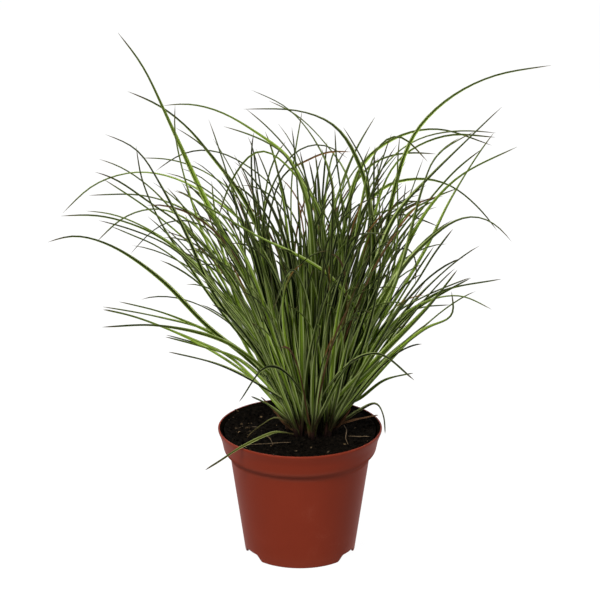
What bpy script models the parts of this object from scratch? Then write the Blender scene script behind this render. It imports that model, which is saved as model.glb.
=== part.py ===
"""Ornamental grass clump in a round nursery pot.

The pot is a thin turned shell with a collar and three notches in its foot. It holds the soil,
eight flattened shoots stand in the middle of it, and fifty arching blades grow from the shoots.
The origin is on the floor, on the pot's axis. The photographed side of the pot faces -Y.
"""

import math

import bmesh
import bpy
from mathutils import Vector

MM = 0.001

# Driving dimensions of the pot
POT_HEIGHT = 0.103
RIM_RADIUS = 0.065
FOOT_RADIUS = 0.044
COLLAR_HEIGHT = 0.0185
COLLAR_TOP_RADIUS = 0.0624
COLLAR_BOTTOM_RADIUS = 0.0602
WALL_TOP_RADIUS = 0.0555
CHAMFER_HEIGHT = 0.0042
LIP_HEIGHT = 0.0028
LIP_ROUNDING = 0.0008
WALL = 0.0016
FLOOR_RISE = 0.0056
POT_SIDES = 60

# Three notches in the foot: front left, front right and back, as angles from +X
NOTCH_ANGLES = (-150, -30, 90)
NOTCH_HEIGHT = 0.0050
NOTCH_HALF_WIDTH_LOW = 0.0132
NOTCH_HALF_WIDTH_HIGH = 0.0075
CUTTER_REACH = 3 * WALL
CUTTER_DROP = 0.0010

# Soil
GAP = 0.0003
SOIL_TOP = 0.096
SOIL_LUMP = 0.0011
SOIL_LUMP_RATES = (330, 270, 510)
SOIL_LUMP_FADE = 0.008
SOIL_SIDES = 40
SOIL_RINGS = 7

# Crown of the plant: flattened shoots in a ring about a point a little off the pot's axis
CROWN = Vector((0.010, 0.008, SOIL_TOP))
CROWN_LEVEL_RADIUS = 0.031
SHOOT_RING_RADIUS = 0.013
SHOOT_HALF_LENGTH = 0.0080
SHOOT_HALF_WIDTH = 0.0040
SHOOT_HEIGHT = 0.018
SHOOT_SIDES = 14
SHOOT_TAPER = 0.90
SHOOT_WIDEST_AT = 0.40
SHOOTS = {
    "right": 0,
    "back_right": 45,
    "back": 90,
    "back_left": 135,
    "left": 180,
    "front_left": 225,
    "front": 270,
    "front_right": 315,
}

# Spread of the blades: the farthest tips to the sides, to the front and to the back
SIDE_REACH = 192
DEPTH_REACH = 150
TOP_HEIGHT = 412

# Blade form
BLADE_STATIONS = 14
BLADE_THICKNESS = 0.0006
BLADE_FOLD = 0.42
BASE_SHARE = 0.55
FULL_WIDTH_FROM = 0.20
FULL_WIDTH_TO = 0.40
TAPER_POWER = 1.6
START_LEAN = 0.3
CURVE_STEPS = 16
ROW_STEP = 0.0030
COLUMN_OFFSET = 0.0015

# Each blade: name, shoot, width, then the points it passes through from the shoot to its tip,
# as x to the right, y to the back and z above the floor. All in millimetres.
BLADES = (
    (
        "left_tallest", "back_left", 4.2,
        (-43, 23, 221), (-59, 25, 251), (-80, 29, 295), (-102, 33, 345), (-122, 37, 388),
        (-140, 40, TOP_HEIGHT),
    ),
    (
        "left_longest", "left", 4.0,
        (-44, -1, 162), (-73, -6, 189), (-109, -14, 230), (-146, -21, 260), (-173, -26, 269),
        (-SIDE_REACH, -30, 265),
    ),
    (
        "left_high", "back_left", 3.4,
        (-30, 28, 249), (-44, 31, 282), (-70, 40, 315), (-87, 45, 335), (-111, 53, 352),
        (-135, 60, 361),
    ),
    (
        "left_far_arch", "back", 3.0,
        (7, 29, 277), (-9, 36, 314), (-30, 47, 328), (-61, 63, 343), (-88, 79, 346),
        (-109, 90, 342),
    ),
    (
        "left_upright", "left", 3.0,
        (-52, 12, 200), (-72, 15, 247), (-86, 17, 285), (-93, 19, 316), (-97, 19, 341),
        (-96, 20, 360),
    ),
    (
        "left_front_high", "front_left", 3.4,
        (-65, -31, 221), (-85, -44, 273), (-104, -53, 316), (-121, -60, 346), (-143, -70, 360),
    ),
    (
        "left_back_slope", "back_left", 3.2,
        (-62, 41, 220), (-97, 53, 260), (-117, 60, 281), (-142, 68, 297), (-160, 75, 302),
    ),
    (
        "left_steep", "left", 2.8,
        (-62, -6, 201), (-88, -11, 243), (-108, -15, 279), (-121, -18, 313), (-124, -20, 338),
    ),
    (
        "left_thin_arch", "back_left", 2.4,
        (-47, 39, 262), (-66, 42, 276), (-92, 48, 291), (-126, 55, 297), (-162, 59, 286),
        (-189, 62, 261),
    ),
    (
        "left_front_slope", "front_left", 3.0,
        (-69, -31, 233), (-93, -40, 263), (-118, -51, 282), (-150, -64, 296), (-177, -75, 299),
    ),
    (
        "left_back_level", "back_left", 2.6,
        (-68, 51, 248), (-96, 68, 264), (-127, 85, 269), (-172, 110, 262),
    ),
    (
        "left_front_wide", "front_left", 3.0,
        (-64, -53, 233), (-95, -75, 274), (-121, -91, 293), (-146, -110, 306),
    ),
    (
        "left_arch", "left", 2.6,
        (-51, 11, 213), (-79, 13, 263), (-109, 16, 278), (-136, 18, 271), (-159, 20, 250),
    ),
    (
        "left_small_arch", "left", 2.2,
        (-50, -19, 243), (-72, -30, 278), (-96, -43, 285), (-111, -50, 280), (-127, -60, 265),
    ),
    ("left_low_front", "front_left", 3.2, (-50, -33, 181), (-105, -69, 211), (-147, -95, 219)),
    ("left_low_back", "back_left", 3.0, (-66, 35, 167), (-113, 48, 178), (-159, 60, 183)),
    ("left_low", "left", 3.2, (-43, 4, 162), (-101, -1, 196), (-141, -5, 209)),
    ("left_low_short", "front_left", 2.8, (-30, -20, 144), (-63, -39, 169), (-100, -60, 187)),
    (
        "over_rim", "front_left", 2.8,
        (-14, -15, 115), (-24, -24, 111), (-34, -35, 107), (-42, -45, 106), (-50, -51, 103),
        (-61, -57, 97), (-73, -64, 92),
    ),
    (
        "right_longest", "right", 3.6,
        (66, 13, 255), (72, 13, 287), (79, 14, 316), (89, 15, 340), (114, 16, 366), (147, 18, 383),
        (SIDE_REACH, 20, 391),
    ),
    (
        "right_broad", "front_right", 4.2,
        (58, -17, 243), (74, -26, 286), (98, -36, 318), (127, -47, 352), (149, -55, 377),
    ),
    (
        "right_back_slope", "back_right", 3.6,
        (79, 36, 201), (103, 43, 242), (118, 48, 274), (140, 56, 310), (153, 60, 328),
    ),
    ("right_slope", "right", 3.8, (66, 7, 206), (82, 6, 247), (100, 5, 282), (123, 3, 308), (166, 0, 332)),
    (
        "right_back_arch", "back_right", 3.2,
        (39, 28, 282), (49, 37, 309), (72, 49, 325), (106, 67, 329), (154, 95, 308),
    ),
    (
        "right_hook", "front_right", 3.0,
        (44, -16, 270), (52, -23, 318), (61, -31, 343), (74, -35, 351), (95, -50, 334),
    ),
    ("right_inner", "front_right", 3.2, (25, -10, 275), (34, -14, 313), (43, -19, 336), (56, -25, 361)),
    ("centre_upright", "back_right", 3.0, (34, 26, 241), (32, 30, 285), (28, 32, 314), (27, 34, 337)),
    (
        "right_broad_arch", "front_right", 4.2,
        (76, -27, 239), (97, -38, 268), (117, -47, 287), (132, -52, 292), (147, -59, 287),
        (158, -65, 276),
    ),
    (
        "right_thin_arch", "back_right", 3.0,
        (49, 30, 269), (65, 35, 290), (95, 46, 293), (119, 54, 285), (143, 63, 264), (158, 70, 244),
    ),
    (
        "right_front_high", "front_right", 3.4,
        (72, -46, 236), (83, -63, 284), (89, -74, 316), (100, -87, 349), (126, -100, 370),
    ),
    ("right_low_broad", "front_right", 4.4, (64, -37, 178), (98, -63, 226), (117, -80, 259)),
    ("right_low_back", "right", 3.4, (64, 18, 166), (107, 28, 204), (160, 40, 213)),
    ("right_low_arch", "right", 3.0, (84, -17, 205), (121, -33, 223), (146, -45, 216)),
    ("right_kinked", "front_right", 4.0, (56, -25, 158), (95, -50, 202), (115, -60, 216), (114, -62, 236)),
    ("right_low_short", "right", 3.6, (46, 0, 125), (67, -16, 148), (88, -30, 159)),
    ("centre_back_arch", "back", 3.2, (26, 35, 288), (14, 41, 322), (-9, 48, 350), (-38, 60, 362)),
    (
        "centre_broad_arch", "front_right", 4.0,
        (55, -4, 210), (54, -12, 285), (45, -20, 323), (27, -28, 355), (0, -36, 369),
        (-42, -50, 374),
    ),
    (
        "centre_front_arch", "front", 3.2,
        (9, -26, 269), (2, -37, 310), (-11, -46, 337), (-32, -57, 354), (-56, -70, 366),
    ),
    ("centre_back_low", "back", 3.0, (39, 53, 287), (22, 68, 314), (-2, 85, 335), (-25, 102, 343)),
    ("front_long", "front", 3.6, (5, -55, 225), (-8, -110, 268), (-20, -DEPTH_REACH, 250)),
    ("front_high", "front", 3.4, (25, -45, 220), (45, -98, 290), (62, -140, 304)),
    ("front_low", "front", 3.2, (-10, -50, 165), (-28, -92, 185), (-45, -128, 172)),
    ("front_low_right", "front", 3.4, (34, -45, 168), (60, -88, 195), (84, -125, 188)),
    ("front_upright", "front", 3.0, (14, -20, 230), (8, -40, 300), (0, -60, 345)),
    ("back_long", "back", 3.6, (15, 60, 235), (24, 110, 288), (30, DEPTH_REACH, 292)),
    ("back_left_arch", "back", 3.2, (-8, 62, 205), (-30, 104, 238), (-50, 140, 228)),
    ("back_right_arch", "back_right", 3.4, (45, 52, 215), (76, 92, 258), (102, 126, 252)),
    ("back_low", "back", 3.2, (10, 60, 160), (12, 100, 178), (14, 134, 164)),
    ("back_left_low", "back_left", 3.0, (-30, 52, 180), (-66, 88, 208), (-96, 118, 198)),
    ("back_right_low", "back_right", 3.0, (58, 38, 160), (92, 60, 180), (122, 80, 178)),
)

TERRACOTTA_PLASTIC = ((0.19, 0.028, 0.012), 0.42)
POTTING_SOIL = ((0.006, 0.004, 0.003), 0.95)
SHEATH_BROWN = ((0.10, 0.035, 0.016), 0.60)
BLADE_GREEN = ((0.045, 0.105, 0.022), 0.48)


def clear_scene():
    for thing in list(bpy.data.objects):
        bpy.data.objects.remove(thing)


def make_material(name, finish):
    colour, roughness = finish
    material = bpy.data.materials.new(name)
    material.use_nodes = True
    shader = material.node_tree.nodes["Principled BSDF"]
    shader.inputs["Base Color"].default_value = (*colour, 1)
    shader.inputs["Roughness"].default_value = roughness
    shader.inputs["Metallic"].default_value = 0
    material.diffuse_color = (*colour, 1)
    return material


def add_object(name, mesh, material, location=(0, 0, 0), parent=None):
    mesh.materials.append(material)
    made = bpy.data.objects.new(name, mesh)
    bpy.context.scene.collection.objects.link(made)
    made.location = location
    made.parent = parent
    return made


def mesh_from(name, bm):
    bmesh.ops.recalc_face_normals(bm, faces=bm.faces)
    mesh = bpy.data.meshes.new(name)
    bm.to_mesh(mesh)
    bm.free()
    return mesh


def on_circle(angle, radius):
    return Vector((radius * math.cos(angle), radius * math.sin(angle), 0))


def pot_profile():
    """Half section of the pot as (radius, height), down the outside and back up the inside."""
    collar_bottom = POT_HEIGHT - COLLAR_HEIGHT
    wall_top = collar_bottom - CHAMFER_HEIGHT
    lip_bottom = POT_HEIGHT - LIP_HEIGHT
    foot_inner = FOOT_RADIUS - WALL
    return [
        (RIM_RADIUS - WALL, POT_HEIGHT),
        (RIM_RADIUS - LIP_ROUNDING, POT_HEIGHT),
        (RIM_RADIUS, POT_HEIGHT - LIP_ROUNDING),
        (RIM_RADIUS, lip_bottom),
        (COLLAR_TOP_RADIUS, lip_bottom - LIP_ROUNDING),
        (COLLAR_BOTTOM_RADIUS, collar_bottom),
        (WALL_TOP_RADIUS, wall_top),
        (FOOT_RADIUS, 0),
        (foot_inner, 0),
        (foot_inner, FLOOR_RISE),
        (0, FLOOR_RISE),
        (0, FLOOR_RISE + WALL),
        (foot_inner, FLOOR_RISE + WALL),
        (WALL_TOP_RADIUS - WALL, wall_top),
        (COLLAR_BOTTOM_RADIUS - WALL, collar_bottom),
        (COLLAR_TOP_RADIUS - WALL, lip_bottom),
    ]


def make_pot(material):
    """The turned shell, cut by three notches whose sides slope in towards their ceilings."""
    bm = bmesh.new()
    corners = [bm.verts.new((radius, 0, height)) for radius, height in pot_profile()]
    floor_ends = [corner for corner in corners if corner.co.x == 0]
    for first, second in zip(corners, corners[1:] + corners[:1]):
        if not (first in floor_ends and second in floor_ends):
            bm.edges.new((first, second))
    mesh = bpy.data.meshes.new("pot")
    bm.to_mesh(mesh)
    bm.free()
    pot = add_object("pot", mesh, material)
    turn = pot.modifiers.new("turn", "SCREW")
    turn.axis = "Z"
    turn.angle = math.tau
    turn.steps = POT_SIDES
    turn.render_steps = POT_SIDES
    turn.use_merge_vertices = True
    turn.merge_threshold = 0.00001
    turn.use_smooth_shade = True
    for number, angle in enumerate(NOTCH_ANGLES):
        cutter = make_notch_cutter(f"notch_cutter_{number}", angle)
        cut = pot.modifiers.new(f"notch_{number}", "BOOLEAN")
        cut.operation = "DIFFERENCE"
        cut.object = cutter
    return pot


def make_notch_cutter(name, angle):
    """A block with a trapezoid front, standing across the foot at this angle."""
    inner = FOOT_RADIUS - CUTTER_REACH
    outer = FOOT_RADIUS + CUTTER_REACH
    outline = (
        (-NOTCH_HALF_WIDTH_LOW, -CUTTER_DROP),
        (NOTCH_HALF_WIDTH_LOW, -CUTTER_DROP),
        (NOTCH_HALF_WIDTH_HIGH, NOTCH_HEIGHT),
        (-NOTCH_HALF_WIDTH_HIGH, NOTCH_HEIGHT),
    )
    bm = bmesh.new()
    front = [bm.verts.new((outer, across, height)) for across, height in outline]
    back = [bm.verts.new((inner, across, height)) for across, height in outline]
    bm.faces.new(front)
    bm.faces.new(back[::-1])
    for i in range(len(outline)):
        j = (i + 1) % len(outline)
        bm.faces.new((front[j], front[i], back[i], back[j]))
    cutter = bpy.data.objects.new(name, mesh_from(name, bm))
    bpy.context.scene.collection.objects.link(cutter)
    cutter.rotation_euler.z = math.radians(angle)
    cutter.hide_render = True
    cutter.display_type = "WIRE"
    return cutter


def soil_height(point):
    """Level about the shoots, and low lumps elsewhere."""
    away = math.hypot(point.x - CROWN.x, point.y - CROWN.y) - CROWN_LEVEL_RADIUS
    if away <= 0:
        return SOIL_TOP
    first, second, third = SOIL_LUMP_RATES
    wave = math.sin(point.x * first) * math.cos(point.y * second) + math.sin(point.y * third + 1)
    return SOIL_TOP + SOIL_LUMP * wave * min(1, away / SOIL_LUMP_FADE) / 2


def make_soil(material):
    """Fills the pot to below the rim, with a gap to the pot all round."""
    collar_bottom = POT_HEIGHT - COLLAR_HEIGHT
    wall_top = collar_bottom - CHAMFER_HEIGHT
    side_gap = WALL + GAP
    bottom = FLOOR_RISE + WALL + GAP
    taper = (COLLAR_TOP_RADIUS - COLLAR_BOTTOM_RADIUS) / (COLLAR_HEIGHT - LIP_HEIGHT)
    edge = COLLAR_BOTTOM_RADIUS - side_gap + taper * (SOIL_TOP - collar_bottom) - GAP
    sides = (
        (FOOT_RADIUS - side_gap - GAP, bottom),
        (WALL_TOP_RADIUS - side_gap, wall_top),
        (COLLAR_BOTTOM_RADIUS - side_gap, collar_bottom),
    )
    bm = bmesh.new()
    turns = [math.tau * i / SOIL_SIDES for i in range(SOIL_SIDES)]
    rings = []
    for radius, height in sides:
        lift = Vector((0, 0, height))
        rings.append([bm.verts.new(on_circle(turn, radius) + lift) for turn in turns])
    for ring in range(SOIL_RINGS):
        radius = edge * (1 - ring / SOIL_RINGS)
        row = []
        for turn in turns:
            point = on_circle(turn, radius)
            point.z = SOIL_TOP if ring == 0 else soil_height(point)
            row.append(bm.verts.new(point))
        rings.append(row)
    bridge(bm, rings)
    bm.faces.new(rings[0])
    fan(bm, rings[-1], bm.verts.new((0, 0, SOIL_TOP)))
    return add_object("soil", mesh_from("soil", bm), material)


def bridge(bm, rings):
    for lower, upper in zip(rings, rings[1:]):
        for i in range(len(lower)):
            j = (i + 1) % len(lower)
            bm.faces.new((lower[i], lower[j], upper[j], upper[i]))


def fan(bm, ring, point):
    for i in range(len(ring)):
        bm.faces.new((ring[i], ring[(i + 1) % len(ring)], point))


def shoot_place(angle):
    return CROWN + on_circle(math.radians(angle), SHOOT_RING_RADIUS)


def make_shoot(name, angle, material, parent):
    """A bundle of sheathed leaf bases, flattened along its own radius of the crown."""
    bm = bmesh.new()
    rings = []
    levels = (
        (GAP, SHOOT_TAPER),
        (SHOOT_HEIGHT * SHOOT_WIDEST_AT, 1),
        (SHOOT_HEIGHT, SHOOT_TAPER),
    )
    for height, share in levels:
        ring = []
        for i in range(SHOOT_SIDES):
            turn = math.tau * i / SHOOT_SIDES
            along = SHOOT_HALF_LENGTH * share * math.cos(turn)
            across = SHOOT_HALF_WIDTH * share * math.sin(turn)
            ring.append(bm.verts.new((along, across, height)))
        rings.append(ring)
    bridge(bm, rings)
    bm.faces.new(rings[0])
    bm.faces.new(rings[-1])
    mesh = mesh_from(name, bm)
    mesh.shade_smooth()
    mesh.set_sharp_from_angle(angle=math.radians(40))
    shoot = add_object(name, mesh, material, shoot_place(angle) - CROWN, parent)
    shoot.rotation_euler.z = math.radians(angle)
    return shoot


def smooth_path(points, count):
    """Evenly spaced places along one smooth curve through the points."""
    first, second = points[0], points[1]
    lift = second - first
    lift.xy *= START_LEAN
    guide = [first - lift] + points + [2 * points[-1] - points[-2]]
    fine = []
    for before, start, end, after in zip(guide, guide[1:], guide[2:], guide[3:]):
        knots = [0.0]
        for one, other in ((before, start), (start, end), (end, after)):
            knots.append(knots[-1] + math.sqrt((other - one).length))
        for step in range(CURVE_STEPS):
            t = knots[1] + (knots[2] - knots[1]) * step / CURVE_STEPS
            fine.append(blend_of_four((before, start, end, after), knots, t))
    fine.append(points[-1])
    lengths = [0.0]
    for one, other in zip(fine, fine[1:]):
        lengths.append(lengths[-1] + (other - one).length)
    path = []
    for i in range(count):
        wanted = lengths[-1] * i / (count - 1)
        k = max(j for j in range(len(lengths) - 1) if lengths[j] <= wanted + 1e-9)
        share = (wanted - lengths[k]) / (lengths[k + 1] - lengths[k])
        path.append(fine[k].lerp(fine[k + 1], min(1, share)))
    return path


def blend_of_four(points, knots, t):
    """The centripetal curve through the middle two of four points."""
    level = list(points)
    for span in (1, 2):
        level = [
            level[i].lerp(level[i + 1], (t - knots[i]) / (knots[i + span] - knots[i]))
            for i in range(len(level) - 1)
        ]
    return level[0].lerp(level[1], (t - knots[1]) / (knots[2] - knots[1]))


def width_share(along):
    """Narrow at the sheath, full in the lower middle, then a long taper."""
    if along < FULL_WIDTH_FROM:
        return BASE_SHARE + (1 - BASE_SHARE) * along / FULL_WIDTH_FROM
    if along < FULL_WIDTH_TO:
        return 1
    return 1 - ((along - FULL_WIDTH_TO) / (1 - FULL_WIDTH_TO)) ** TAPER_POWER


def blade_mesh(name, points, width):
    """A keeled blade, V-shaped in section, that ends in a sharp tip."""
    path = smooth_path(points, BLADE_STATIONS)
    lean = Vector((points[-1].x - points[0].x, points[-1].y - points[0].y, 0)).normalized()
    across = lean.cross(Vector((0, 0, 1)))
    bm = bmesh.new()
    rings = []
    for i, centre in enumerate(path[:-1]):
        ahead = Vector((0, 0, 1)) if i == 0 else (path[i + 1] - path[i - 1]).normalized()
        upper = across.cross(ahead).normalized()
        half = width * width_share(i / (BLADE_STATIONS - 1)) / 2
        fold = upper * (half * BLADE_FOLD)
        core = upper * (BLADE_THICKNESS / 2)
        corners = (
            centre - across * half + fold,
            centre - core,
            centre + across * half + fold,
            centre + core,
        )
        rings.append([bm.verts.new(corner - points[0]) for corner in corners])
    bridge(bm, rings)
    bm.faces.new(rings[0])
    fan(bm, rings[-1], bm.verts.new(path[-1] - points[0]))
    mesh = mesh_from(name, bm)
    mesh.shade_smooth()
    mesh.set_sharp_from_angle(angle=math.radians(50))
    return mesh


def blade_points(spec):
    return [Vector(point) * MM for point in spec[3:]]


def leaning(spec):
    """How far a blade leans at its start, as run over rise."""
    start = shoot_place(SHOOTS[spec[1]])
    first = blade_points(spec)[0]
    return math.hypot(first.x - start.x, first.y - start.y) / (first.z - start.z)


def turned_from(spec):
    """The angle between a blade's lean and its shoot's own direction, positive anticlockwise."""
    angle = math.radians(SHOOTS[spec[1]])
    start = shoot_place(SHOOTS[spec[1]])
    first = blade_points(spec)[0]
    lean = math.atan2(first.y - start.y, first.x - start.x)
    return (lean - angle + math.pi) % math.tau - math.pi


def blade_roots():
    """Where each blade stands on its shoot: the steepest innermost, two to a row."""
    roots = {}
    for shoot, angle in SHOOTS.items():
        own = sorted((spec for spec in BLADES if spec[1] == shoot), key=leaning)
        rows = [own[i : i + 2] for i in range(0, len(own), 2)]
        outward = on_circle(math.radians(angle), 1)
        sideways = Vector((-outward.y, outward.x, 0))
        for number, row in enumerate(rows):
            row_place = (number - (len(rows) - 1) / 2) * ROW_STEP
            for spec, column in zip(sorted(row, key=turned_from), (-1, 1)):
                offset = outward * row_place
                if len(row) == 2:
                    offset += sideways * (column * COLUMN_OFFSET)
                top = Vector((0, 0, SHOOT_HEIGHT + GAP))
                roots[spec[0]] = shoot_place(angle) + offset + top
    return roots


def make_blades(material, parent):
    roots = blade_roots()
    for spec in BLADES:
        name, width = spec[0], spec[2]
        root = roots[name]
        mesh = blade_mesh("blade_" + name, [root] + blade_points(spec), width * MM)
        add_object("blade_" + name, mesh, material, root - CROWN, parent)


def main():
    clear_scene()
    make_pot(make_material("terracotta_plastic", TERRACOTTA_PLASTIC))
    make_soil(make_material("potting_soil", POTTING_SOIL))
    crown = bpy.data.objects.new("crown", None)
    crown.location = CROWN
    bpy.context.scene.collection.objects.link(crown)
    sheath = make_material("sheath_brown", SHEATH_BROWN)
    for shoot, angle in SHOOTS.items():
        make_shoot("shoot_" + shoot, angle, sheath, crown)
    make_blades(make_material("blade_green", BLADE_GREEN), crown)


main()
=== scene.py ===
"""Potted ornamental grass clump: the pieces that show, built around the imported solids.

The pot, the soil, the sheathed shoots and the fifty named blades each stand for a solid of the
frame. The filling blades, the litter and the crumbs are small pieces that only show here.
All is in metres, in the frame's own axes: +Z up, and the photographed side towards -Y.
"""

import math
import random

import bmesh
import bpy
import numpy as np
from bpy.props import FloatProperty, FloatVectorProperty, IntProperty, PointerProperty
from mathutils import Euler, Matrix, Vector, noise


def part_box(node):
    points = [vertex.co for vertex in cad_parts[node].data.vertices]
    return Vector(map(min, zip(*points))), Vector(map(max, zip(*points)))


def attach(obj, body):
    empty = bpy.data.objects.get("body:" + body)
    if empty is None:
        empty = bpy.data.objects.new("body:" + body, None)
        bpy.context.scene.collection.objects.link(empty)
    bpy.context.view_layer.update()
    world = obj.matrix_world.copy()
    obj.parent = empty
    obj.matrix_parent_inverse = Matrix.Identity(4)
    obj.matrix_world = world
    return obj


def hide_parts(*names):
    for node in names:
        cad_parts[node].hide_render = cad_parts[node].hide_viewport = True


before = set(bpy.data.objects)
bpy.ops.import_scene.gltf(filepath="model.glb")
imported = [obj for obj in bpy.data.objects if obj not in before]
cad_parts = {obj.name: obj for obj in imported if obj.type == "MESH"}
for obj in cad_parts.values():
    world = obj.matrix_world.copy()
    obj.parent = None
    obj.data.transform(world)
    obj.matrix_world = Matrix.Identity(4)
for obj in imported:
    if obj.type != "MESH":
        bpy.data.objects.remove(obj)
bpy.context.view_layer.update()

bl_info = {
    "name": "Potted Grass Clump",
    "version": (1, 0, 0),
    "blender": (4, 5, 0),
    "location": "View3D > Sidebar > Grass",
    "description": "Builds a clump of striped grass in a nursery pot around its solids",
    "category": "Add Mesh",
}

MM = 0.001
POT_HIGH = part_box("pot")[1]
SOIL_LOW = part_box("soil")[0]

# Camera, and the square frame that it sees in pixels
CAMERA_PLACE = Vector((0, -1.850, 0.822))
CAMERA_PITCH_DOWN = 18.34
CAMERA_LENS = 150
SENSOR = 36
FRAME = 600
FOCAL = FRAME * CAMERA_LENS / SENSOR

# Studio: each lamp's name, place, size and power, and how bright the paper and the room are
LAMPS = (
    ("key", (-0.9, -1.6, 1.7), 0.7, 56),
    ("fill", (1.5, -1.3, 1.0), 1.0, 14),
    ("top", (0.0, 0.2, 2.2), 0.8, 30),
    ("back_left", (-1.3, 1.3, 0.7), 1.0, 6),
    ("back_right", (1.3, 1.3, 0.7), 1.0, 6),
)
LAMP_AIM = Vector((0, 0, 0.2))
DOME_RADIUS = 12
DOME_SIDES = 96
PAPER_COLOUR = (0.05, 0.05, 0.05)
PAPER_GLOW = 0.98
ROOM_LIGHT = 0.24

# Pot section, from the frame and in proportion to it
RIM_RADIUS = POT_HIGH.x
POT_HEIGHT = POT_HIGH.z
FOOT_RADIUS = 0.044
WALL = 0.0016
COLLAR_HEIGHT = 0.0185
COLLAR_TOP_RADIUS = 0.0624
COLLAR_BOTTOM_RADIUS = 0.0602
WALL_TOP_RADIUS = 0.0555
CHAMFER_HEIGHT = 0.0042
LIP_HEIGHT = 0.0028
LIP_WIDTH = 0.0014
FLARE_HEIGHT = 0.0050
FLOOR_RISE = 0.0056
POT_SIDES = 360
POT_ROW = 0.006
POT_SHARP_ANGLE = math.radians(50)
NOTCH_ANGLES = (-150, -30, 90)
NOTCH_HEIGHT = 0.0050
NOTCH_OUTER_DEGREES = 17.5
NOTCH_INNER_DEGREES = 9.0
NOTCH_ZONE = 0.0054
DARK_WALL_FROM = 0.086

# Soil: its top, its rings and sides, and the radius and height of each ring under its top
SOIL_TOP = 0.096
SOIL_RADIUS = 0.0602
SOIL_RINGS = 62
SOIL_SIDES = 240
SOIL_BODY = ((0.0580, POT_HEIGHT - COLLAR_HEIGHT), (0.0536, 0.080), (0.0421, SOIL_LOW.z))
BANK_FROM = 0.049
BANK_RISE = 0.0056
CROWN_RISE = 0.0016
CROWN_SPREAD = 0.034

# Layers of the soil's lumps: how fine, where their pattern starts, and their share of the height
LUMP_LAYERS = (
    (95, Vector((3.1, 1.7, 0)), 0.55),
    (330, Vector((9.2, 4.4, 2.0)), 0.38),
    (900, Vector((1.3, 7.9, 5.0)), 0.16),
)
SOIL_SEED = 5

# Crumbs: smallest size, what the largest adds, how high a middle lies as a share of the size,
# how many are dark, how far their tones go, and the tone of the few pale ones
CRUMB_SIZE = 0.0004
CRUMB_MORE = 0.0011
CRUMB_RAISED = 0.35
DARK_CRUMBS = 0.992
DARK_TONES_TO = 0.9
PALE_CRUMB = 0.99

# Stones: how unevenly their corners stand out, and how they are stretched along X, Y and Z
STONE_JOLTS = (0.62, 1.25)
STONE_STRETCH = ((0.8, 1.3), (0.7, 1.1), (0.5, 0.85))

# Pale specks on the soil at the left: how many, their middle, spread and sizes in millimetres,
# and their tones
SPECKS = 36
SPECKS_AT = (-44, 14)
SPECKS_SPREAD = (6.5, 7.5)
SPECK_SIZES = (0.5, 1.5)
SPECK_TONES = (0.925, 0.948)

# Crumbs that lie on the rim: place and size in millimetres
RIM_CRUMBS = ((-52, 36.5, 0.9), (-49.5, 40.0, 0.5), (38.5, 50.5, 0.5), (-20.0, -61.5, 0.4))

# Crown and shoots
CROWN = Vector((0.010, 0.008, SOIL_TOP))
SHOOT_NAMES = ("right", "back_right", "back", "back_left", "left", "front_left", "front", "front_right")
SHOOT_DEGREES = 45
SHOOT_RING_RADIUS = 0.013
SHOOT_HALF_LENGTH = 0.0080
SHOOT_HALF_WIDTH = 0.0040
BASE_LEVEL = SOIL_TOP - 0.0007
BASE_PULL = 0.35

# A named blade's solid stands this far above its shoot, on corners that are level to this much
FOOT_GAP = 0.0003
LEVEL_WITHIN = 0.00002

# Blade form: stations along it, its section's places across, and its shape in metres and shares
BLADE_STATIONS = 44
FILLER_STATIONS = 26
SMOOTHING_ROUNDS = 2
ACROSS = (-1.0, -0.5, 0.0, 0.5, 1.0, 0.5, 0.0, -0.5)
RING = len(ACROSS)
TOP_COLUMNS = 4
BLADE_THICKNESS = 0.00038
FULL_THICKNESS_FROM = 0.0010
SHARP_TIP = 0.00006
THIN_HALF_WIDTH = 0.00072
LOW_FOLD = 0.6
TURN_SHARE = 0.35
KEEL_ANGLE = math.radians(32)

# Curves through points: steps from one point to the next, and the pull of the first stretch
CURVE_STEPS = 16
START_PULL = np.array((0.3, 0.3, 1.0))

# The strip that each blade has in the second map: what is left free at its edges and its ends
STRIP_EDGE = 0.08
STRIP_END = 0.01

# How far sections are turned, and twisted to the tip, and how fresh named blades are
NAMED_TURNS = (0.7, 1.15)
NAMED_TWISTS = (-0.4, 0.4)
NAMED_TONES = (0.15, 0.80)
PLACED_TURNS = (0.7, 1.1)
PLACED_TWISTS = (-0.3, 0.3)
FILLER_TURNS = (-1.2, 1.2)
FILLER_TWISTS = (-0.5, 0.5)

# How many filling blades are deep green, and how fresh the deep and the bright ones are
DEEP_BLADES = 0.60
DEEP_TONES = (0, 0.25)
BRIGHT_TONES = (0.35, 1)

# Blade width: its share at the base, where it is full, how far it stays full on filling and on
# named blades, how soon it closes after that, and the share that is left to the thin end
BASE_WIDTH = 0.42
FULL_BY = 0.28
SHORT_HOLD = 0.44
LONG_HOLD = 0.53
CLOSES_OVER = 0.46
END_WIDTH = 0.22

# What the leaf finishes read at each point: freshness, dryness, distance from the base in metres,
# and the painted shade deep inside the clump
POINT_VALUES = ("tone", "dry", "run", "core")

# The mass of blades: its reach from the crown along X, Y and Z, and how much further it reaches
# on the left than on the right
MASS_REACH = (0.182, 0.138, 0.282)
REACH_MORE_LEFT = 0.05

# Filling blades: their widths in millimetres, how late they bend, how few are dry, how far out
# they may reach, the station from which that is asked, and the length that is short enough
FILLER_WIDTHS = (2.6, 4.6)
FILLER_POWERS = (2.0, 4.5)
DRY_FILLERS = 0.05
MOST_REACH = (0.76, 1.0)
CLEAR_STATION = 8
SHORTEST = 0.05

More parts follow.
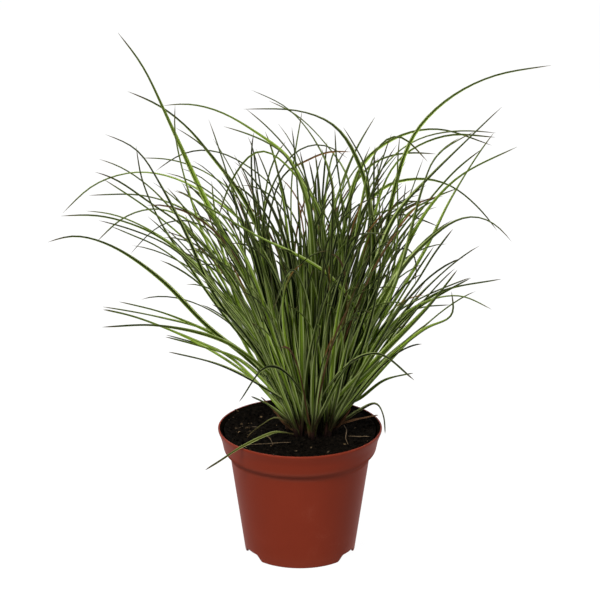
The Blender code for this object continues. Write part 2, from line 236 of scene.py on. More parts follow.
# Sheaths: how far from their shoot's middle they stand, their lengths and widths, their leans and
# bends in degrees, and how many are dry
SHEATH_STATIONS = 10
SHEATH_FOLD = 0.85
SHEATH_RINGS = (0.95, 0.7, 0.45)
SHEATH_LENGTHS = (0.014, 0.040)
SHEATH_WIDTHS = (0.0022, 0.0044)
SHEATH_LEANS = (-4, 9)
SHEATH_BENDS = (0, 22)
SHEATH_POWER = 1.5
SHEATH_TWISTS = (-0.3, 0.3)
DRY_SHEATHS = 0.55

# The painted shade in the clump's heart: a cone that starts below the soil, the height that it
# fades towards, and how much of the shade is gone at the cone's side
CORE_ROOT = 0.03
CORE_ANGLE = math.radians(21)
CORE_HEIGHT = 0.24
CORE_LOSS = 0.86

# Kinds of filling blade, as lean, bend, length and spread about their shoot's own direction
# (degrees and metres), how much more they lean to the left than to the right, and their share
KINDS = (
    (((0, 14), (20, 90), (0.17, 0.28), 80, 0.10), 0.19),
    (((9, 26), (10, 85), (0.24, 0.37), 40, 0.12), 0.62),
    (((22, 35), (0, 50), (0.13, 0.25), 26, -0.12), 0.19),
)

# Each named blade: name, shoot, width, then the points it passes through from the shoot to its
# tip, as x, y and z. All in millimetres, as in the part's own source.
NAMED_BLADES = (
    ("left_tallest", "back_left", 4.2, (-43, 23, 221), (-59, 25, 251), (-80, 29, 295), (-102, 33, 345),
     (-122, 37, 388), (-140, 40, 412)),
    ("left_longest", "left", 4.0, (-44, -1, 162), (-73, -6, 189), (-109, -14, 231), (-146, -21, 260),
     (-173, -26, 269), (-192, -30, 265)),
    ("left_high", "back_left", 3.4, (-30, 28, 249), (-44, 31, 282), (-70, 40, 315), (-87, 45, 335),
     (-111, 53, 352), (-135, 60, 361)),
    ("left_far_arch", "back", 3.0, (7, 29, 277), (-9, 36, 314), (-30, 47, 328), (-61, 63, 343),
     (-88, 79, 346), (-109, 90, 342)),
    ("left_upright", "left", 3.0, (-52, 12, 201), (-72, 15, 247), (-85, 17, 285), (-93, 19, 316),
     (-97, 19, 341), (-96, 20, 360)),
    ("left_front_high", "front_left", 3.4, (-65, -31, 221), (-85, -44, 273), (-104, -53, 316),
     (-121, -60, 346), (-143, -70, 360)),
    ("left_back_slope", "back_left", 3.2, (-62, 41, 220), (-97, 53, 260), (-117, 60, 281), (-142, 68, 297),
     (-160, 75, 302)),
    ("left_steep", "left", 2.8, (-62, -6, 201), (-88, -11, 243), (-108, -15, 278), (-121, -18, 313),
     (-124, -20, 338)),
    ("left_thin_arch", "back_left", 2.4, (-47, 39, 262), (-66, 42, 276), (-92, 48, 291), (-126, 55, 297),
     (-162, 59, 286), (-189, 62, 261)),
    ("left_front_slope", "front_left", 3.0, (-69, -31, 233), (-93, -40, 262), (-118, -51, 282),
     (-150, -64, 296), (-177, -75, 299)),
    ("left_back_level", "back_left", 2.6, (-68, 51, 249), (-96, 68, 264), (-127, 85, 269),
     (-172, 110, 262)),
    ("left_front_wide", "front_left", 3.0, (-64, -53, 233), (-95, -75, 274), (-121, -91, 292),
     (-146, -110, 306)),
    ("left_arch", "left", 2.6, (-51, 11, 213), (-79, 13, 263), (-109, 16, 278), (-136, 18, 271),
     (-159, 20, 250)),
    ("left_small_arch", "left", 2.2, (-50, -19, 243), (-72, -30, 277), (-96, -43, 286), (-111, -50, 280),
     (-127, -60, 265)),
    ("left_low_front", "front_left", 3.2, (-50, -33, 181), (-105, -69, 211), (-147, -95, 219)),
    ("left_low_back", "back_left", 3.0, (-66, 35, 167), (-113, 48, 178), (-159, 60, 183)),
    ("left_low", "left", 3.2, (-43, 4, 162), (-101, -1, 196), (-141, -5, 209)),
    ("left_low_short", "front_left", 2.8, (-30, -20, 144), (-63, -39, 169), (-100, -60, 187)),
    ("over_rim", "front_left", 2.2, (-10, -10, 101), (-20, -20, 105.7), (-27.4, -28, 106.3),
     (-35, -37, 106.1), (-42.2, -46, 105.7), (-49.6, -51, 103.3), (-60.3, -57, 97.8), (-73, -64, 92)),
    ("right_longest", "right", 3.6, (66, 13, 255), (72, 13, 288), (79, 14, 316), (89, 15, 340),
     (114, 16, 366), (147, 18, 383), (192, 20, 391)),
    ("right_broad", "front_right", 4.2, (58, -17, 243), (74, -26, 286), (98, -36, 318), (127, -47, 352),
     (149, -55, 377)),
    ("right_back_slope", "back_right", 3.6, (79, 36, 201), (103, 43, 242), (118, 48, 274), (140, 56, 310),
     (153, 60, 328)),
    ("right_slope", "right", 3.8, (66, 7, 206), (82, 6, 247), (100, 5, 282), (123, 3, 308), (166, 0, 332)),
    ("right_back_arch", "back_right", 3.2, (39, 28, 282), (49, 37, 309), (72, 49, 325), (106, 67, 329),
     (154, 95, 308)),
    ("right_hook", "front_right", 3.0, (44, -16, 270), (52, -23, 318), (61, -31, 343), (74, -35, 351),
     (95, -50, 334)),
    ("right_inner", "front_right", 3.2, (25, -10, 275), (34, -14, 313), (43, -19, 336), (56, -25, 361)),
    ("centre_upright", "back_right", 3.0, (34, 26, 241), (32, 30, 285), (28, 32, 314), (27, 34, 337)),
    ("right_broad_arch", "front_right", 4.2, (76, -27, 239), (97, -38, 268), (117, -47, 287),
     (132, -52, 292), (147, -59, 287), (158, -65, 276)),
    ("right_thin_arch", "back_right", 3.0, (48, 30, 269), (65, 35, 290), (95, 46, 294), (119, 54, 286),
     (143, 63, 264), (158, 70, 244)),
    ("right_front_high", "front_right", 3.4, (72, -46, 236), (83, -63, 285), (89, -74, 316),
     (100, -87, 349), (126, -100, 370)),
    ("right_low_broad", "front_right", 4.4, (64, -37, 178), (98, -63, 226), (117, -80, 259)),
    ("right_low_back", "right", 3.4, (64, 18, 166), (107, 28, 204), (160, 40, 213)),
    ("right_low_arch", "right", 3.0, (84, -17, 205), (121, -33, 223), (146, -45, 216)),
    ("right_kinked", "front_right", 4.0, (56, -25, 158), (95, -50, 202), (115, -60, 216), (114, -62, 236)),
    ("right_low_short", "right", 3.6, (46, 0, 125), (67, -16, 148), (88, -30, 159)),
    ("centre_back_arch", "back", 3.2, (26, 35, 288), (14, 41, 322), (-9, 48, 350), (-38, 60, 362)),
    ("centre_broad_arch", "front_right", 4.0, (55, -4, 210), (54, -12, 285), (45, -20, 323),
     (27, -28, 355), (0, -36, 369), (-42, -50, 374)),
    ("centre_front_arch", "front", 3.2, (9, -26, 270), (2, -37, 310), (-11, -46, 338), (-32, -57, 354),
     (-56, -70, 366)),
    ("centre_back_low", "back", 3.0, (39, 53, 287), (22, 68, 314), (-2, 85, 335), (-25, 102, 343)),
    ("front_long", "front", 3.6, (5, -55, 225), (-8, -110, 268), (-20, -150, 250)),
    ("front_high", "front", 3.4, (25, -45, 220), (45, -98, 290), (62, -140, 304)),
    ("front_low", "front", 3.2, (-10, -50, 165), (-28, -92, 185), (-45, -128, 172)),
    ("front_low_right", "front", 3.4, (34, -45, 168), (60, -88, 195), (84, -125, 188)),
    ("front_upright", "front", 3.0, (14, -20, 230), (8, -40, 300), (0, -60, 345)),
    ("back_long", "back", 3.6, (15, 60, 235), (24, 110, 288), (30, 150, 292)),
    ("back_left_arch", "back", 3.2, (-8, 62, 205), (-30, 104, 238), (-50, 140, 228)),
    ("back_right_arch", "back_right", 3.4, (45, 52, 215), (76, 92, 258), (102, 126, 252)),
    ("back_low", "back", 3.2, (10, 60, 160), (12, 100, 178), (14, 134, 164)),
    ("back_left_low", "back_left", 3.0, (-30, 52, 180), (-66, 88, 208), (-96, 118, 198)),
    ("back_right_low", "back_right", 3.0, (58, 38, 160), (92, 60, 180), (122, 80, 178)),
)

# A named blade that leaves the crown below the top of its shoot, with its own tone and dryness
LOW_START = "over_rim"
LOW_START_TONE = 0.305
LOW_START_DRY = 0.30

# The named blades that lean towards the camera, darkened as painted shade for their shaded side, and how
# much of their tone they keep
SHADED_SIDE_PREFIX = "front_"
SHADED_SIDE_TONE = 0.2

# More blades that can be told apart, which only show here: shoot, width, how dry, then the points
PLACED_BLADES = (
    ("front_left", 3.0, 0.0, (-36, -8, 144), (-80, -15, 178), (-128, -22, 202), (-152, -25, 209)),
    ("right", 2.4, 0.0, (55, 16, 262), (75, 24, 314), (112, 34, 332), (153, 48, 327)),
    ("right", 3.2, 0.0, (70, 12, 188), (94, 16, 204), (134, 22, 220)),
    ("front_left", 2.6, 0.0, (-22, -18, 126), (-38, -28, 139)),
    ("front_left", 2.8, 0.0, (-46, -20, 165), (-76, -34, 182), (-103, -48, 195)),
    ("front_left", 1.9, 0.45, (-8, -4, 102.4), (-12.7, -9, 111.1), (-20.4, -15, 116), (-29, -21, 113.2),
     (-36.6, -28, 109.7), (-41.3, -33, 106.6)),
    ("right", 3.4, 0.1, (36, -2, 109), (48, -6, 119), (60, -10, 126), (65, -12, 118), (67, -13, 102)),
    ("right", 3.0, 1.0, (42, -3, 109), (62, -6, 115)),
    ("left", 2.8, 1.0, (-13, -2, 106), (-19, -3, 115), (-25, -4, 123), (-31, -5, 130)),
    ("right", 3.4, 1.0, (30, 1, 103), (35, -4, 112), (40, -8, 122)),
)

# Blades placed as they are seen from the camera: shoot, width and the tip's depth in millimetres,
# then the places in the 600 x 600 frame that they pass, from low on the blade to its tip
SEEN_BLADES = (
    ("back", 2.4, 20, (299, 330), (291, 230), (291, 184), (295, 150), (302, 111)),
    ("back_right", 2.6, 10, (328, 330), (337, 220), (346, 176), (357, 149), (375, 117)),
    ("front_right", 2.8, -40, (362, 330), (370, 230), (366, 170), (356, 149), (343, 127)),
    ("left", 3.2, -10, (280, 330), (263, 222), (269, 195), (279, 173), (291, 156), (307, 146), (319, 144),
     (335, 149), (347, 158)),
    ("back_right", 3.8, -30, (334, 330), (328, 260), (316, 204), (304, 187), (287, 166), (274, 155),
     (263, 149), (253, 152), (242, 163), (227, 190), (218, 219)),
    ("left", 2.6, 0, (288, 330), (272, 268), (260, 212), (255, 177), (253, 148), (248, 137)),
    ("back_left", 3.4, 30, (303, 330), (287, 240), (279, 212), (266, 173), (256, 149)),
    ("front_right", 3.8, -80, (366, 350), (356, 310), (333, 280), (312, 264), (284, 249), (260, 238),
     (214, 211), (176, 190)),
    ("right", 2.8, -40, (352, 360), (368, 312), (384, 275), (395, 254), (404, 247), (412, 252), (416, 262),
     (415, 283)),
    ("right", 2.8, 10, (378, 330), (397, 250), (398, 191), (398, 163), (400, 135)),
    ("right", 2.4, 40, (364, 330), (372, 260), (374, 198), (374, 170), (375, 146)),
    ("back", 2.4, 60, (335, 330), (352, 250), (361, 226), (370, 198), (384, 173), (399, 153)),
    ("back", 2.6, 60, (310, 330), (322, 240), (330, 215), (343, 190), (357, 167), (374, 153)),
    ("right", 2.6, 30, (345, 330), (338, 250), (325, 215), (312, 195), (298, 166), (287, 149), (267, 127),
     (246, 109)),
    ("back", 2.0, 50, (320, 330), (321, 250), (319, 201), (317, 160)),
    ("left", 2.0, 60, (278, 330), (268, 225), (284, 173), (302, 163), (326, 152), (351, 152)),
    ("back", 2.0, 60, (314, 330), (300, 230), (272, 186), (247, 166), (222, 153), (199, 150), (178, 156),
     (156, 171)),
    ("back_right", 2.2, 80, (338, 330), (355, 220), (380, 172), (399, 151), (419, 139), (441, 133),
     (466, 131), (496, 133)),
    ("back", 1.8, 90, (318, 330), (340, 210), (363, 173), (375, 162), (390, 156), (408, 153), (436, 154)),
    ("right", 2.8, 0, (378, 330), (404, 262), (413, 227), (419, 202), (426, 179), (431, 164), (443, 149),
     (459, 138)),
    ("back_right", 1.8, 60, (350, 330), (390, 255), (416, 217), (436, 192), (457, 169), (482, 149)),
    ("right", 1.8, 10, (365, 330), (392, 238), (409, 212), (423, 204), (443, 194), (459, 188)),
    ("back_right", 1.8, 40, (345, 330), (368, 245), (383, 219), (399, 214), (419, 219), (439, 227)),
    ("front_right", 2.6, -50, (366, 365), (392, 318), (419, 279), (431, 259), (443, 242), (453, 229)),
    ("right", 2.4, -20, (372, 330), (391, 262), (398, 227), (404, 202), (406, 183)),
    ("right", 2.6, 0, (372, 365), (410, 315), (447, 291), (471, 278)),
    ("front_left", 3.0, -60, (268, 396), (230, 358), (200, 343), (170, 330), (135, 317), (103, 309)),
    ("left", 2.6, -20, (270, 388), (240, 360), (200, 345), (166, 335)),
    ("back_left", 3.2, 30, (275, 320), (245, 215), (222, 169), (206, 149), (189, 136), (176, 128)),
    ("left", 2.2, 20, (252, 340), (200, 255), (173, 229), (148, 209), (123, 192), (103, 179)),
    ("front_left", 2.2, -40, (252, 345), (200, 268), (176, 247), (156, 234), (133, 222), (110, 214),
     (86, 211)),
    ("left", 2.0, -10, (248, 350), (190, 272), (156, 246), (133, 236), (110, 226)),
    ("left", 2.6, 0, (262, 345), (232, 280), (190, 232), (150, 203), (113, 178), (95, 172)),
    ("back_left", 2.6, 50, (290, 320), (262, 240), (236, 196), (205, 172), (172, 160), (140, 158)),
)

# Strands that lie on the soil: colour share, radius, then the points. In millimetres.
STRAND_STATIONS = 22
STRANDS = (
    (0.95, 0.38, (35.3, 15.0, 98.2), (37.0, 2.0, 98.6), (36.0, -12.0, 98.0), (37.7, -25.0, 97.6)),
    (0.7, 0.32, (-40.5, -25.0, 97.6), (-28.0, -26.0, 98.6), (-16.0, -22.5, 98.2), (-7.0, -20.6, 97.8)),
    (0.7, 0.34, (38.0, -8.0, 98.0), (46.0, -12.5, 99.4), (53.0, -11.0, 99.0), (58.0, -12.0, 97.8)),
    (0.95, 0.34, (-26.4, -9.0, 98.2), (-24.8, -12.0, 98.8), (-23.0, -17.0, 98.6), (-21.2, -26.6, 97.8)),
)

# Chips of bark and wood on the soil: colour share, length, place and turn in degrees. In millimetres.
CHIPS = (
    (0.95, 4.5, (8.7, -28.0), 80),
    (0.9, 3.2, (-3.0, -36.0), 15),
    (0.75, 2.4, (-48.0, 13.0), 20),
    (0.7, 1.8, (-46.0, 16.5), 110),
    (0.75, 2.2, (-51.0, 9.5), 160),
    (0.7, 1.6, (-42.0, 26.0), 60),
    (0.35, 5.5, (-36.0, 17.0), 155),
    (0.3, 5.0, (22.0, -38.0), 60),
    (0.3, 4.8, (-20.0, -44.0), 100),
    (0.8, 2.0, (44.0, 14.0), 10),
)

# How a chip is drawn in on every side, how much of its length it keeps beside that, and how high it lies
CHIP_NARROW = np.array((0.32, 0.32, 0.25))
CHIP_LONG = 0.68
CHIP_RAISED = 0.0004
CHIP_SEED = 8


def colour_setting(name, description, default):
    """A colour that a user can change."""
    return FloatVectorProperty(
        name=name, description=description, subtype="COLOR", size=3, min=0, max=1, default=default
    )


class PotSettings(bpy.types.PropertyGroup):
    """Sizes and colours of the pot."""

    lip_rounding: FloatProperty(
        name="Lip Rounding", description="Radius of the lip's edges", default=0.0009, unit="LENGTH"
    )
    colour: colour_setting("Plastic", "Colour of the moulded plastic", (0.205, 0.026, 0.010))
    # Also lightens the band under the collar, as painted bounce light
    scuff_and_bounce_light: colour_setting("Scuff", "Colour where the plastic is scuffed or dusty", (0.26, 0.060, 0.035))
    # The near-black colour of the pot's inner wall below the rim
    inner_wall_dark: colour_setting("Stain", "Colour of the soil that clings inside the rim", (0.004, 0.003, 0.002))
    roughness: FloatProperty(
        name="Roughness", description="Roughness of the plastic",
        subtype="FACTOR", min=0, max=1, default=0.46,
    )


class SoilSettings(bpy.types.PropertyGroup):
    """Sizes and colours of the soil and of what lies on it."""

    lump: FloatProperty(
        name="Lump Height", description="Height of the soil's lumps", default=0.0019, unit="LENGTH"
    )
    crumbs: IntProperty(name="Crumbs", description="Number of loose crumbs", default=2300, min=0)
    dark: colour_setting("Dark Soil", "Colour of the damp soil", (0.0012, 0.0009, 0.0006))
    light: colour_setting("Dry Crumb", "Colour of the drier crumbs", (0.0100, 0.0074, 0.0050))
    fibre: colour_setting("Fibre", "Colour of the roots, strands and pale chips", (0.17, 0.115, 0.060))


class GrassSettings(bpy.types.PropertyGroup):
    """Sizes and colours of the blades and of their sheaths."""

    fillers: IntProperty(
        name="Filling Blades", description="Unnamed blades on each shoot", default=35, min=0
    )
    sheaths: IntProperty(
        name="Sheaths", description="Short sheaths about each shoot", default=16, min=0
    )
    fold: FloatProperty(
        name="Fold", description="How far a blade's edges rise from its keel, as a share of its half width",
        subtype="FACTOR", min=0, max=1, default=0.75,
    )
    seed: IntProperty(name="Seed", description="Sets how the filling blades fall", default=11)
    # Half of this colour is also the painted shade deep inside the clump
    deep: colour_setting("Deep Green", "Colour of the darker blades' middles", (0.0036, 0.0070, 0.0010))
    fresh: colour_setting("Fresh Green", "Colour of the lighter blades' middles", (0.295, 0.450, 0.044))
    margin: colour_setting("Margin", "Colour of the pale stripe along each edge", (0.575, 0.665, 0.265))
    tip: colour_setting("Tip", "Colour of the blades' thin ends", (0.018, 0.023, 0.008))
    sheath: colour_setting("Sheath", "Colour of the sheathed bases", (0.020, 0.0085, 0.006))
    straw: colour_setting("Straw", "Colour of dry blades and tips", (0.16, 0.080, 0.038))
    browned: colour_setting(
        "Browned", "Colour of the few leaf ends that have turned brown", (0.24, 0.105, 0.034)
    )


class Amount:
    """A number, colour or place inside a material, from which sums and products can be made."""

    def __init__(self, finish, socket):
        self.finish, self.socket = finish, socket

    def maths(self, operation, first, second=0.0):
        return self.finish.node("ShaderNodeMath", {0: first, 1: second}, operation=operation)

    def __add__(self, other):
        return self.maths("ADD", self, other)

    def __mul__(self, other):
        return self.maths("MULTIPLY", self, other)

    __radd__, __rmul__ = __add__, __mul__

    def __sub__(self, other):
        return self.maths("SUBTRACT", self, other)

    def __rsub__(self, other):
        return self.maths("SUBTRACT", other, self)

    def __pow__(self, other):
        return self.maths("POWER", self, other)

    def __abs__(self):
        return self.maths("ABSOLUTE", self)

    def above(self, limit):
        return self.maths("GREATER_THAN", self, limit)

    def shuffled(self, turns):
        """Another number from 0 to 1 that goes with this one, but seems free of it."""
        return self.maths("FRACT", self * turns)

    def clamped(self):
        self.socket.node.use_clamp = True
        return self

    def step(self, low, high):
        """Rises smoothly from 0 at low to 1 at high."""
        inputs = {"Value": self, "From Min": low, "From Max": high}
        return self.finish.node("ShaderNodeMapRange", inputs, "Result", interpolation_type="SMOOTHSTEP")


class Finish:
    """A procedural material, with short ways to add to it."""

    def __init__(self, name):
        self.material = bpy.data.materials.new(name)
        self.material.use_nodes = True
        self.tree = self.material.node_tree
        self.shader = self.tree.nodes["Principled BSDF"]

    def node(self, kind, inputs=(), output=0, **settings):
        """One output of a new node with these inputs and settings."""
        made = self.tree.nodes.new(kind)
        for key, value in settings.items():
            setattr(made, key, value)
        for key, value in dict(inputs).items():
            self.give(made.inputs[key], value)
        return Amount(self, made.outputs[output])

    def give(self, socket, value):
        """Links an amount to the socket, or sets the socket's own value."""
        if isinstance(value, Amount):
            self.tree.links.new(value.socket, socket)
        elif socket.type == "RGBA":
            socket.default_value = (*value[:3], 1)
        else:
            socket.default_value = value

    def mix(self, share, first, second):
        return self.node("ShaderNodeMix", {0: share, 6: first, 7: second}, 2, data_type="RGBA")

    def grain(self, vector, scale=1.0, detail=3.0, roughness=0.55):
        inputs = {"Vector": vector, "Scale": scale, "Detail": detail, "Roughness": roughness}
        return self.node("ShaderNodeTexNoise", inputs, "Fac")

    def place(self):
        return self.node("ShaderNodeTexCoord", output="Object")

    def value_of(self, name):
        return self.node("ShaderNodeAttribute", output="Fac", attribute_name=name)

    def parts(self, vector):
        separated = self.node("ShaderNodeSeparateXYZ", {0: vector}).socket.node
        return [Amount(self, socket) for socket in separated.outputs]

    def joined(self, x, y, z):
        return self.node("ShaderNodeCombineXYZ", {0: x, 1: y, 2: z})

    def on_blade(self):
        """How far across and along its blade a place lies, each from 0 to 1."""
        return self.parts(self.node("ShaderNodeUVMap", output="UV", uv_map="blade"))[:2]

    def surface(self, colour, roughness, gloss, height=None, distance=0.0, strength=0.0):
        """The material, with this colour, roughness and gloss, and a fine relief if a height is given."""
        self.give(self.shader.inputs["Base Color"], colour)
        self.give(self.shader.inputs["Roughness"], roughness)
        self.give(self.shader.inputs["Specular IOR Level"], gloss)
        if height is not None:
            inputs = {"Height": height, "Distance": distance, "Strength": strength}
            self.give(self.shader.inputs["Normal"], self.node("ShaderNodeBump", inputs, "Normal"))
        return self.material


def shade(share, colour):
    """The colour made so much darker or lighter."""
    return tuple(share * part for part in colour)


def pot_finish(settings):
    """Satin moulded plastic, with a faint mottle, scuffs at the foot, and a rougher band under the collar
    that is lightened as painted bounce light.
    """
    finish = Finish("satin_plastic")
    place = finish.place()
    height = finish.parts(place)[2]
    mottle = finish.grain(place, 30)
    fine = finish.grain(place, 900, roughness=0.7)
    drawn = finish.grain(finish.node("ShaderNodeMapping", {"Vector": place, "Scale": (160, 160, 20)}))
    worn = (mottle + fine * 0.5).step(0.86, 1.05) * 0.4 + (1.0 - height.step(0.0, 0.014)) * 0.15
    plain = finish.mix(mottle.step(0.3, 0.7), shade(0.94, settings.colour), settings.colour)
    used = finish.mix(worn, plain, settings.scuff_and_bounce_light)
    # The band under the collar is rougher, and lighter as painted bounce light from the floor
    under = height.step(0.077, 0.080) * height.step(0.0885, 0.0855)
    bounce_lit = finish.mix(under * 0.3, used, settings.scuff_and_bounce_light)
    rough = (settings.roughness + fine * 0.10 + under * 0.4).clamped()
    return finish.surface(bounce_lit, rough, 0.08, fine * 0.5 + drawn, 0.00012, 0.25)


def dark_inner_wall_finish(settings):
    """Near-black grained finish on the pot's inner wall below the rim, which hides the plastic."""
    finish = Finish("dark_inner_wall")
    wall_grain = finish.grain(finish.place(), 420, 4, 0.7)
    grained_tone = finish.mix(wall_grain.step(0.4, 0.8), settings.inner_wall_dark, shade(2.5, settings.inner_wall_dark))
    return finish.surface(grained_tone, 0.95, 0.0, wall_grain, 0.0003, 0.6)


def soil_finish(settings):
    """Damp crumbly soil, darker in its hollows, with paler crumbs by their own tone."""
    finish = Finish("damp_soil")
    place = finish.place()
    coarse = finish.grain(place, 260, 5, 0.7)
    fine = finish.grain(place, 1400, 4, 0.7)
    tone = finish.value_of("tone")
    grained_tone = finish.mix(coarse.step(0.35, 0.75), settings.dark, settings.light)
    crumbs = finish.mix(tone.step(0.45, 0.80), grained_tone, settings.light)
    pale = finish.mix(tone.step(0.93, 0.97), crumbs, settings.fibre)
    return finish.surface(pale, 0.95, 0.02, coarse + fine * 0.5, 0.0008, 0.9)


def fibre_finish(settings):
    """Roots, strands and chips: from dark bark to pale wood by their own tone."""
    finish = Finish("dry_fibre")
    streak = finish.grain(finish.place(), 700, 4, 0.65)
    share = finish.value_of("tone") * streak.step(0.15, 0.6)
    wood = finish.mix(share, shade(2.2, settings.light), settings.fibre)
    return finish.surface(wood, 0.85, 0.2, streak, 0.0003, 0.6)


def blade_finish(settings):
    """Green blade with fine lengthwise veins, one half lighter as painted light, pale margins and a brown
    base.
    """
    finish = Finish("striped_leaf")
    across, along = finish.on_blade()
    tone, dry, run, core = [finish.value_of(name) for name in POINT_VALUES]
    vein = finish.grain(finish.joined(across * 22.0, run * 26.0, tone * 63.0), detail=2, roughness=0.5)
    patch = finish.grain(finish.joined(across, run * 45.0, tone * 31.0), roughness=0.6)
    fade = along.step(0.50, 0.90)

    # The middle, with one half lighter than the other as painted light on the fold, and fresher low on the
    # blade
    painted_lit_half = abs(across.step(0.48, 0.52) - tone.shuffled(17.0).above(0.5)) * (0.35 + tone * 0.65)
    low = (1.0 - run.step(0.04, 0.21)) * (tone + 0.15)
    fresh = (tone * 0.72 + vein * 0.16 + (painted_lit_half - 0.32) * 0.64 + low * 0.06).clamped()
    middle = finish.mix(fade * 0.80, finish.mix(fresh, settings.deep, settings.fresh), settings.tip)

    # The pale margins, which fade towards the tip
    edge = abs(across - 0.5) + (patch - 0.5) * 0.07
    stripe = finish.mix(patch * 0.45, settings.margin, settings.fresh)
    stripe = finish.mix(tone.step(-0.5, 0.4), shade(0.16, settings.margin), stripe)
    green = finish.mix(edge.step(0.29, 0.34) * (0.92 - fade * 0.74), middle, stripe)

    # The paler and then brown base, which ends unevenly
    rise = run + (patch - 0.5) * 0.02 + (tone.shuffled(29.0) - 0.5) * 0.018
    pale = finish.mix((1.0 - rise.step(0.030, 0.062)) * 0.10, green, settings.margin)
    based = finish.mix((1.0 - rise.step(0.012, 0.036)) * 0.92, pale, settings.sheath)

    # The tip: dry on every blade, and browned further down on a few
    withered = (along + patch * 0.05).step(0.95, 1.02) * 0.7
    tipped = finish.mix(withered, based, shade(0.4, settings.straw))
    browned = (along + patch * 0.3).step(0.94, 1.02) * tone.shuffled(69.0).above(0.95)
    tipped = finish.mix(browned * 0.75, tipped, settings.browned)

    # Dry blades, and the painted shade deep inside the clump
    straw = finish.mix(vein.step(0.3, 0.7), shade(0.45, settings.straw), settings.straw)
    leaf = finish.mix(dry, tipped, straw)
    leaf = finish.mix(core * 0.92, leaf, shade(0.5, settings.deep))
    return finish.surface(leaf, 0.40 + patch * 0.14, 0.03, vein, 0.00025, 0.35)


def sheath_finish(settings):
    """Papery sheaths: dark at the soil, then maroon-brown and fibrous, and greener at their ends."""
    finish = Finish("papery_sheath")
    across, along = finish.on_blade()
    tone, dry = finish.value_of("tone"), finish.value_of("dry")
    thread = finish.grain(finish.joined(across * 30.0, along * 1.6, tone * 57.0), detail=4, roughness=0.6)
    brown = finish.mix(thread.step(0.3, 0.72), shade(0.5, settings.sheath), shade(2.6, settings.sheath))
    clear = along.step(0.10, 0.55)
    brown = finish.mix(clear, shade(0.35, settings.sheath), brown)
    aged = finish.mix(tone ** 3.0 * clear * 0.75, brown, settings.straw)
    green = finish.mix((along + tone * 0.3).step(0.55, 1.05), aged, shade(0.12, settings.fresh))
    return finish.surface(finish.mix(dry, green, aged), 0.62, 0.08, thread, 0.0003, 0.6)


def new_object(name, data):
    made = bpy.data.objects.new(name, data)
    bpy.context.scene.collection.objects.link(made)
    return made


def mesh_piece(name, points, faces, material, slot, nodes=(), smooth=True):
    """A new object of these points and faces that rides with the root and stands for the nodes."""
    mesh = bpy.data.meshes.new(name)
    mesh.from_pydata([tuple(point) for point in points], [], [tuple(face) for face in faces])
    mesh.materials.append(material)
    if smooth:
        mesh.shade_smooth()
    piece = new_object(name, mesh)
    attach(piece, "root")
    if nodes:
        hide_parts(*nodes)
    return piece


def set_point_values(mesh, name, values):
    made = mesh.attributes.new(name, "FLOAT", "POINT")
    made.data.foreach_set("value", np.asarray(values, np.float32))


def face_outwards(mesh):
    bm = bmesh.new()
    bm.from_mesh(mesh)
    bmesh.ops.recalc_face_normals(bm, faces=bm.faces)
    bm.to_mesh(mesh)
    bm.free()


def rounded(corners, steps=5):
    """A profile whose corners, given as (radius, height, rounding), are turned into short arcs."""
    found = []
    for i, (x, z, size) in enumerate(corners):
        here = Vector((x, z))
        if size == 0 or i in (0, len(corners) - 1):
            found.append(here)
            continue
        before, after = Vector(corners[i - 1][:2]) - here, Vector(corners[i + 1][:2]) - here
        start, end = here + before.normalized() * size, here + after.normalized() * size
        for k in range(steps + 1):
            t = k / steps
            found.append(start.lerp(here, t).lerp(here.lerp(end, t), t))
    return found


def with_rows(profile, most):
    """The profile with points added, so that no stretch is longer than most."""
    found = [profile[0]]
    for point in profile[1:]:
        pieces = max(1, math.ceil((point - found[-1]).length / most))
        start = found[-1]
        found += [start.lerp(point, k / pieces) for k in range(1, pieces + 1)]
    return found


def notch_rise(angle):
    """How far the foot's edge is raised at this angle, with soft corners."""
    rise = 0.0
    for centre in NOTCH_ANGLES:
        away = abs((math.degrees(angle) - centre + 180) % 360 - 180)
        share = (NOTCH_OUTER_DEGREES - away) / (NOTCH_OUTER_DEGREES - NOTCH_INNER_DEGREES)
        share = max(0.0, min(1.0, share))
        rise = max(rise, NOTCH_HEIGHT * share * share * (3 - 2 * share))
    return rise


def turned(profile, sides, shape=None):
    """A closed surface turned about the Z axis from a profile that starts and ends on the axis."""
    middle = profile[1:-1]
    points = [(0, 0, profile[0].y), (0, 0, profile[-1].y)]
    for side in range(sides):
        angle = math.tau * side / sides
        for point in middle:
            radius, height = (point.x, point.y) if shape is None else shape(point.x, point.y, angle)
            points.append((radius * math.cos(angle), radius * math.sin(angle), height))
    faces = []
    rows = len(middle)
    for side in range(sides):
        here, there = 2 + side * rows, 2 + (side + 1) % sides * rows
        faces.append((0, there, here))
        faces.append((1, here + rows - 1, there + rows - 1))
        faces += [(here + k, there + k, there + k + 1, here + k + 1) for k in range(rows - 1)]
    return points, faces


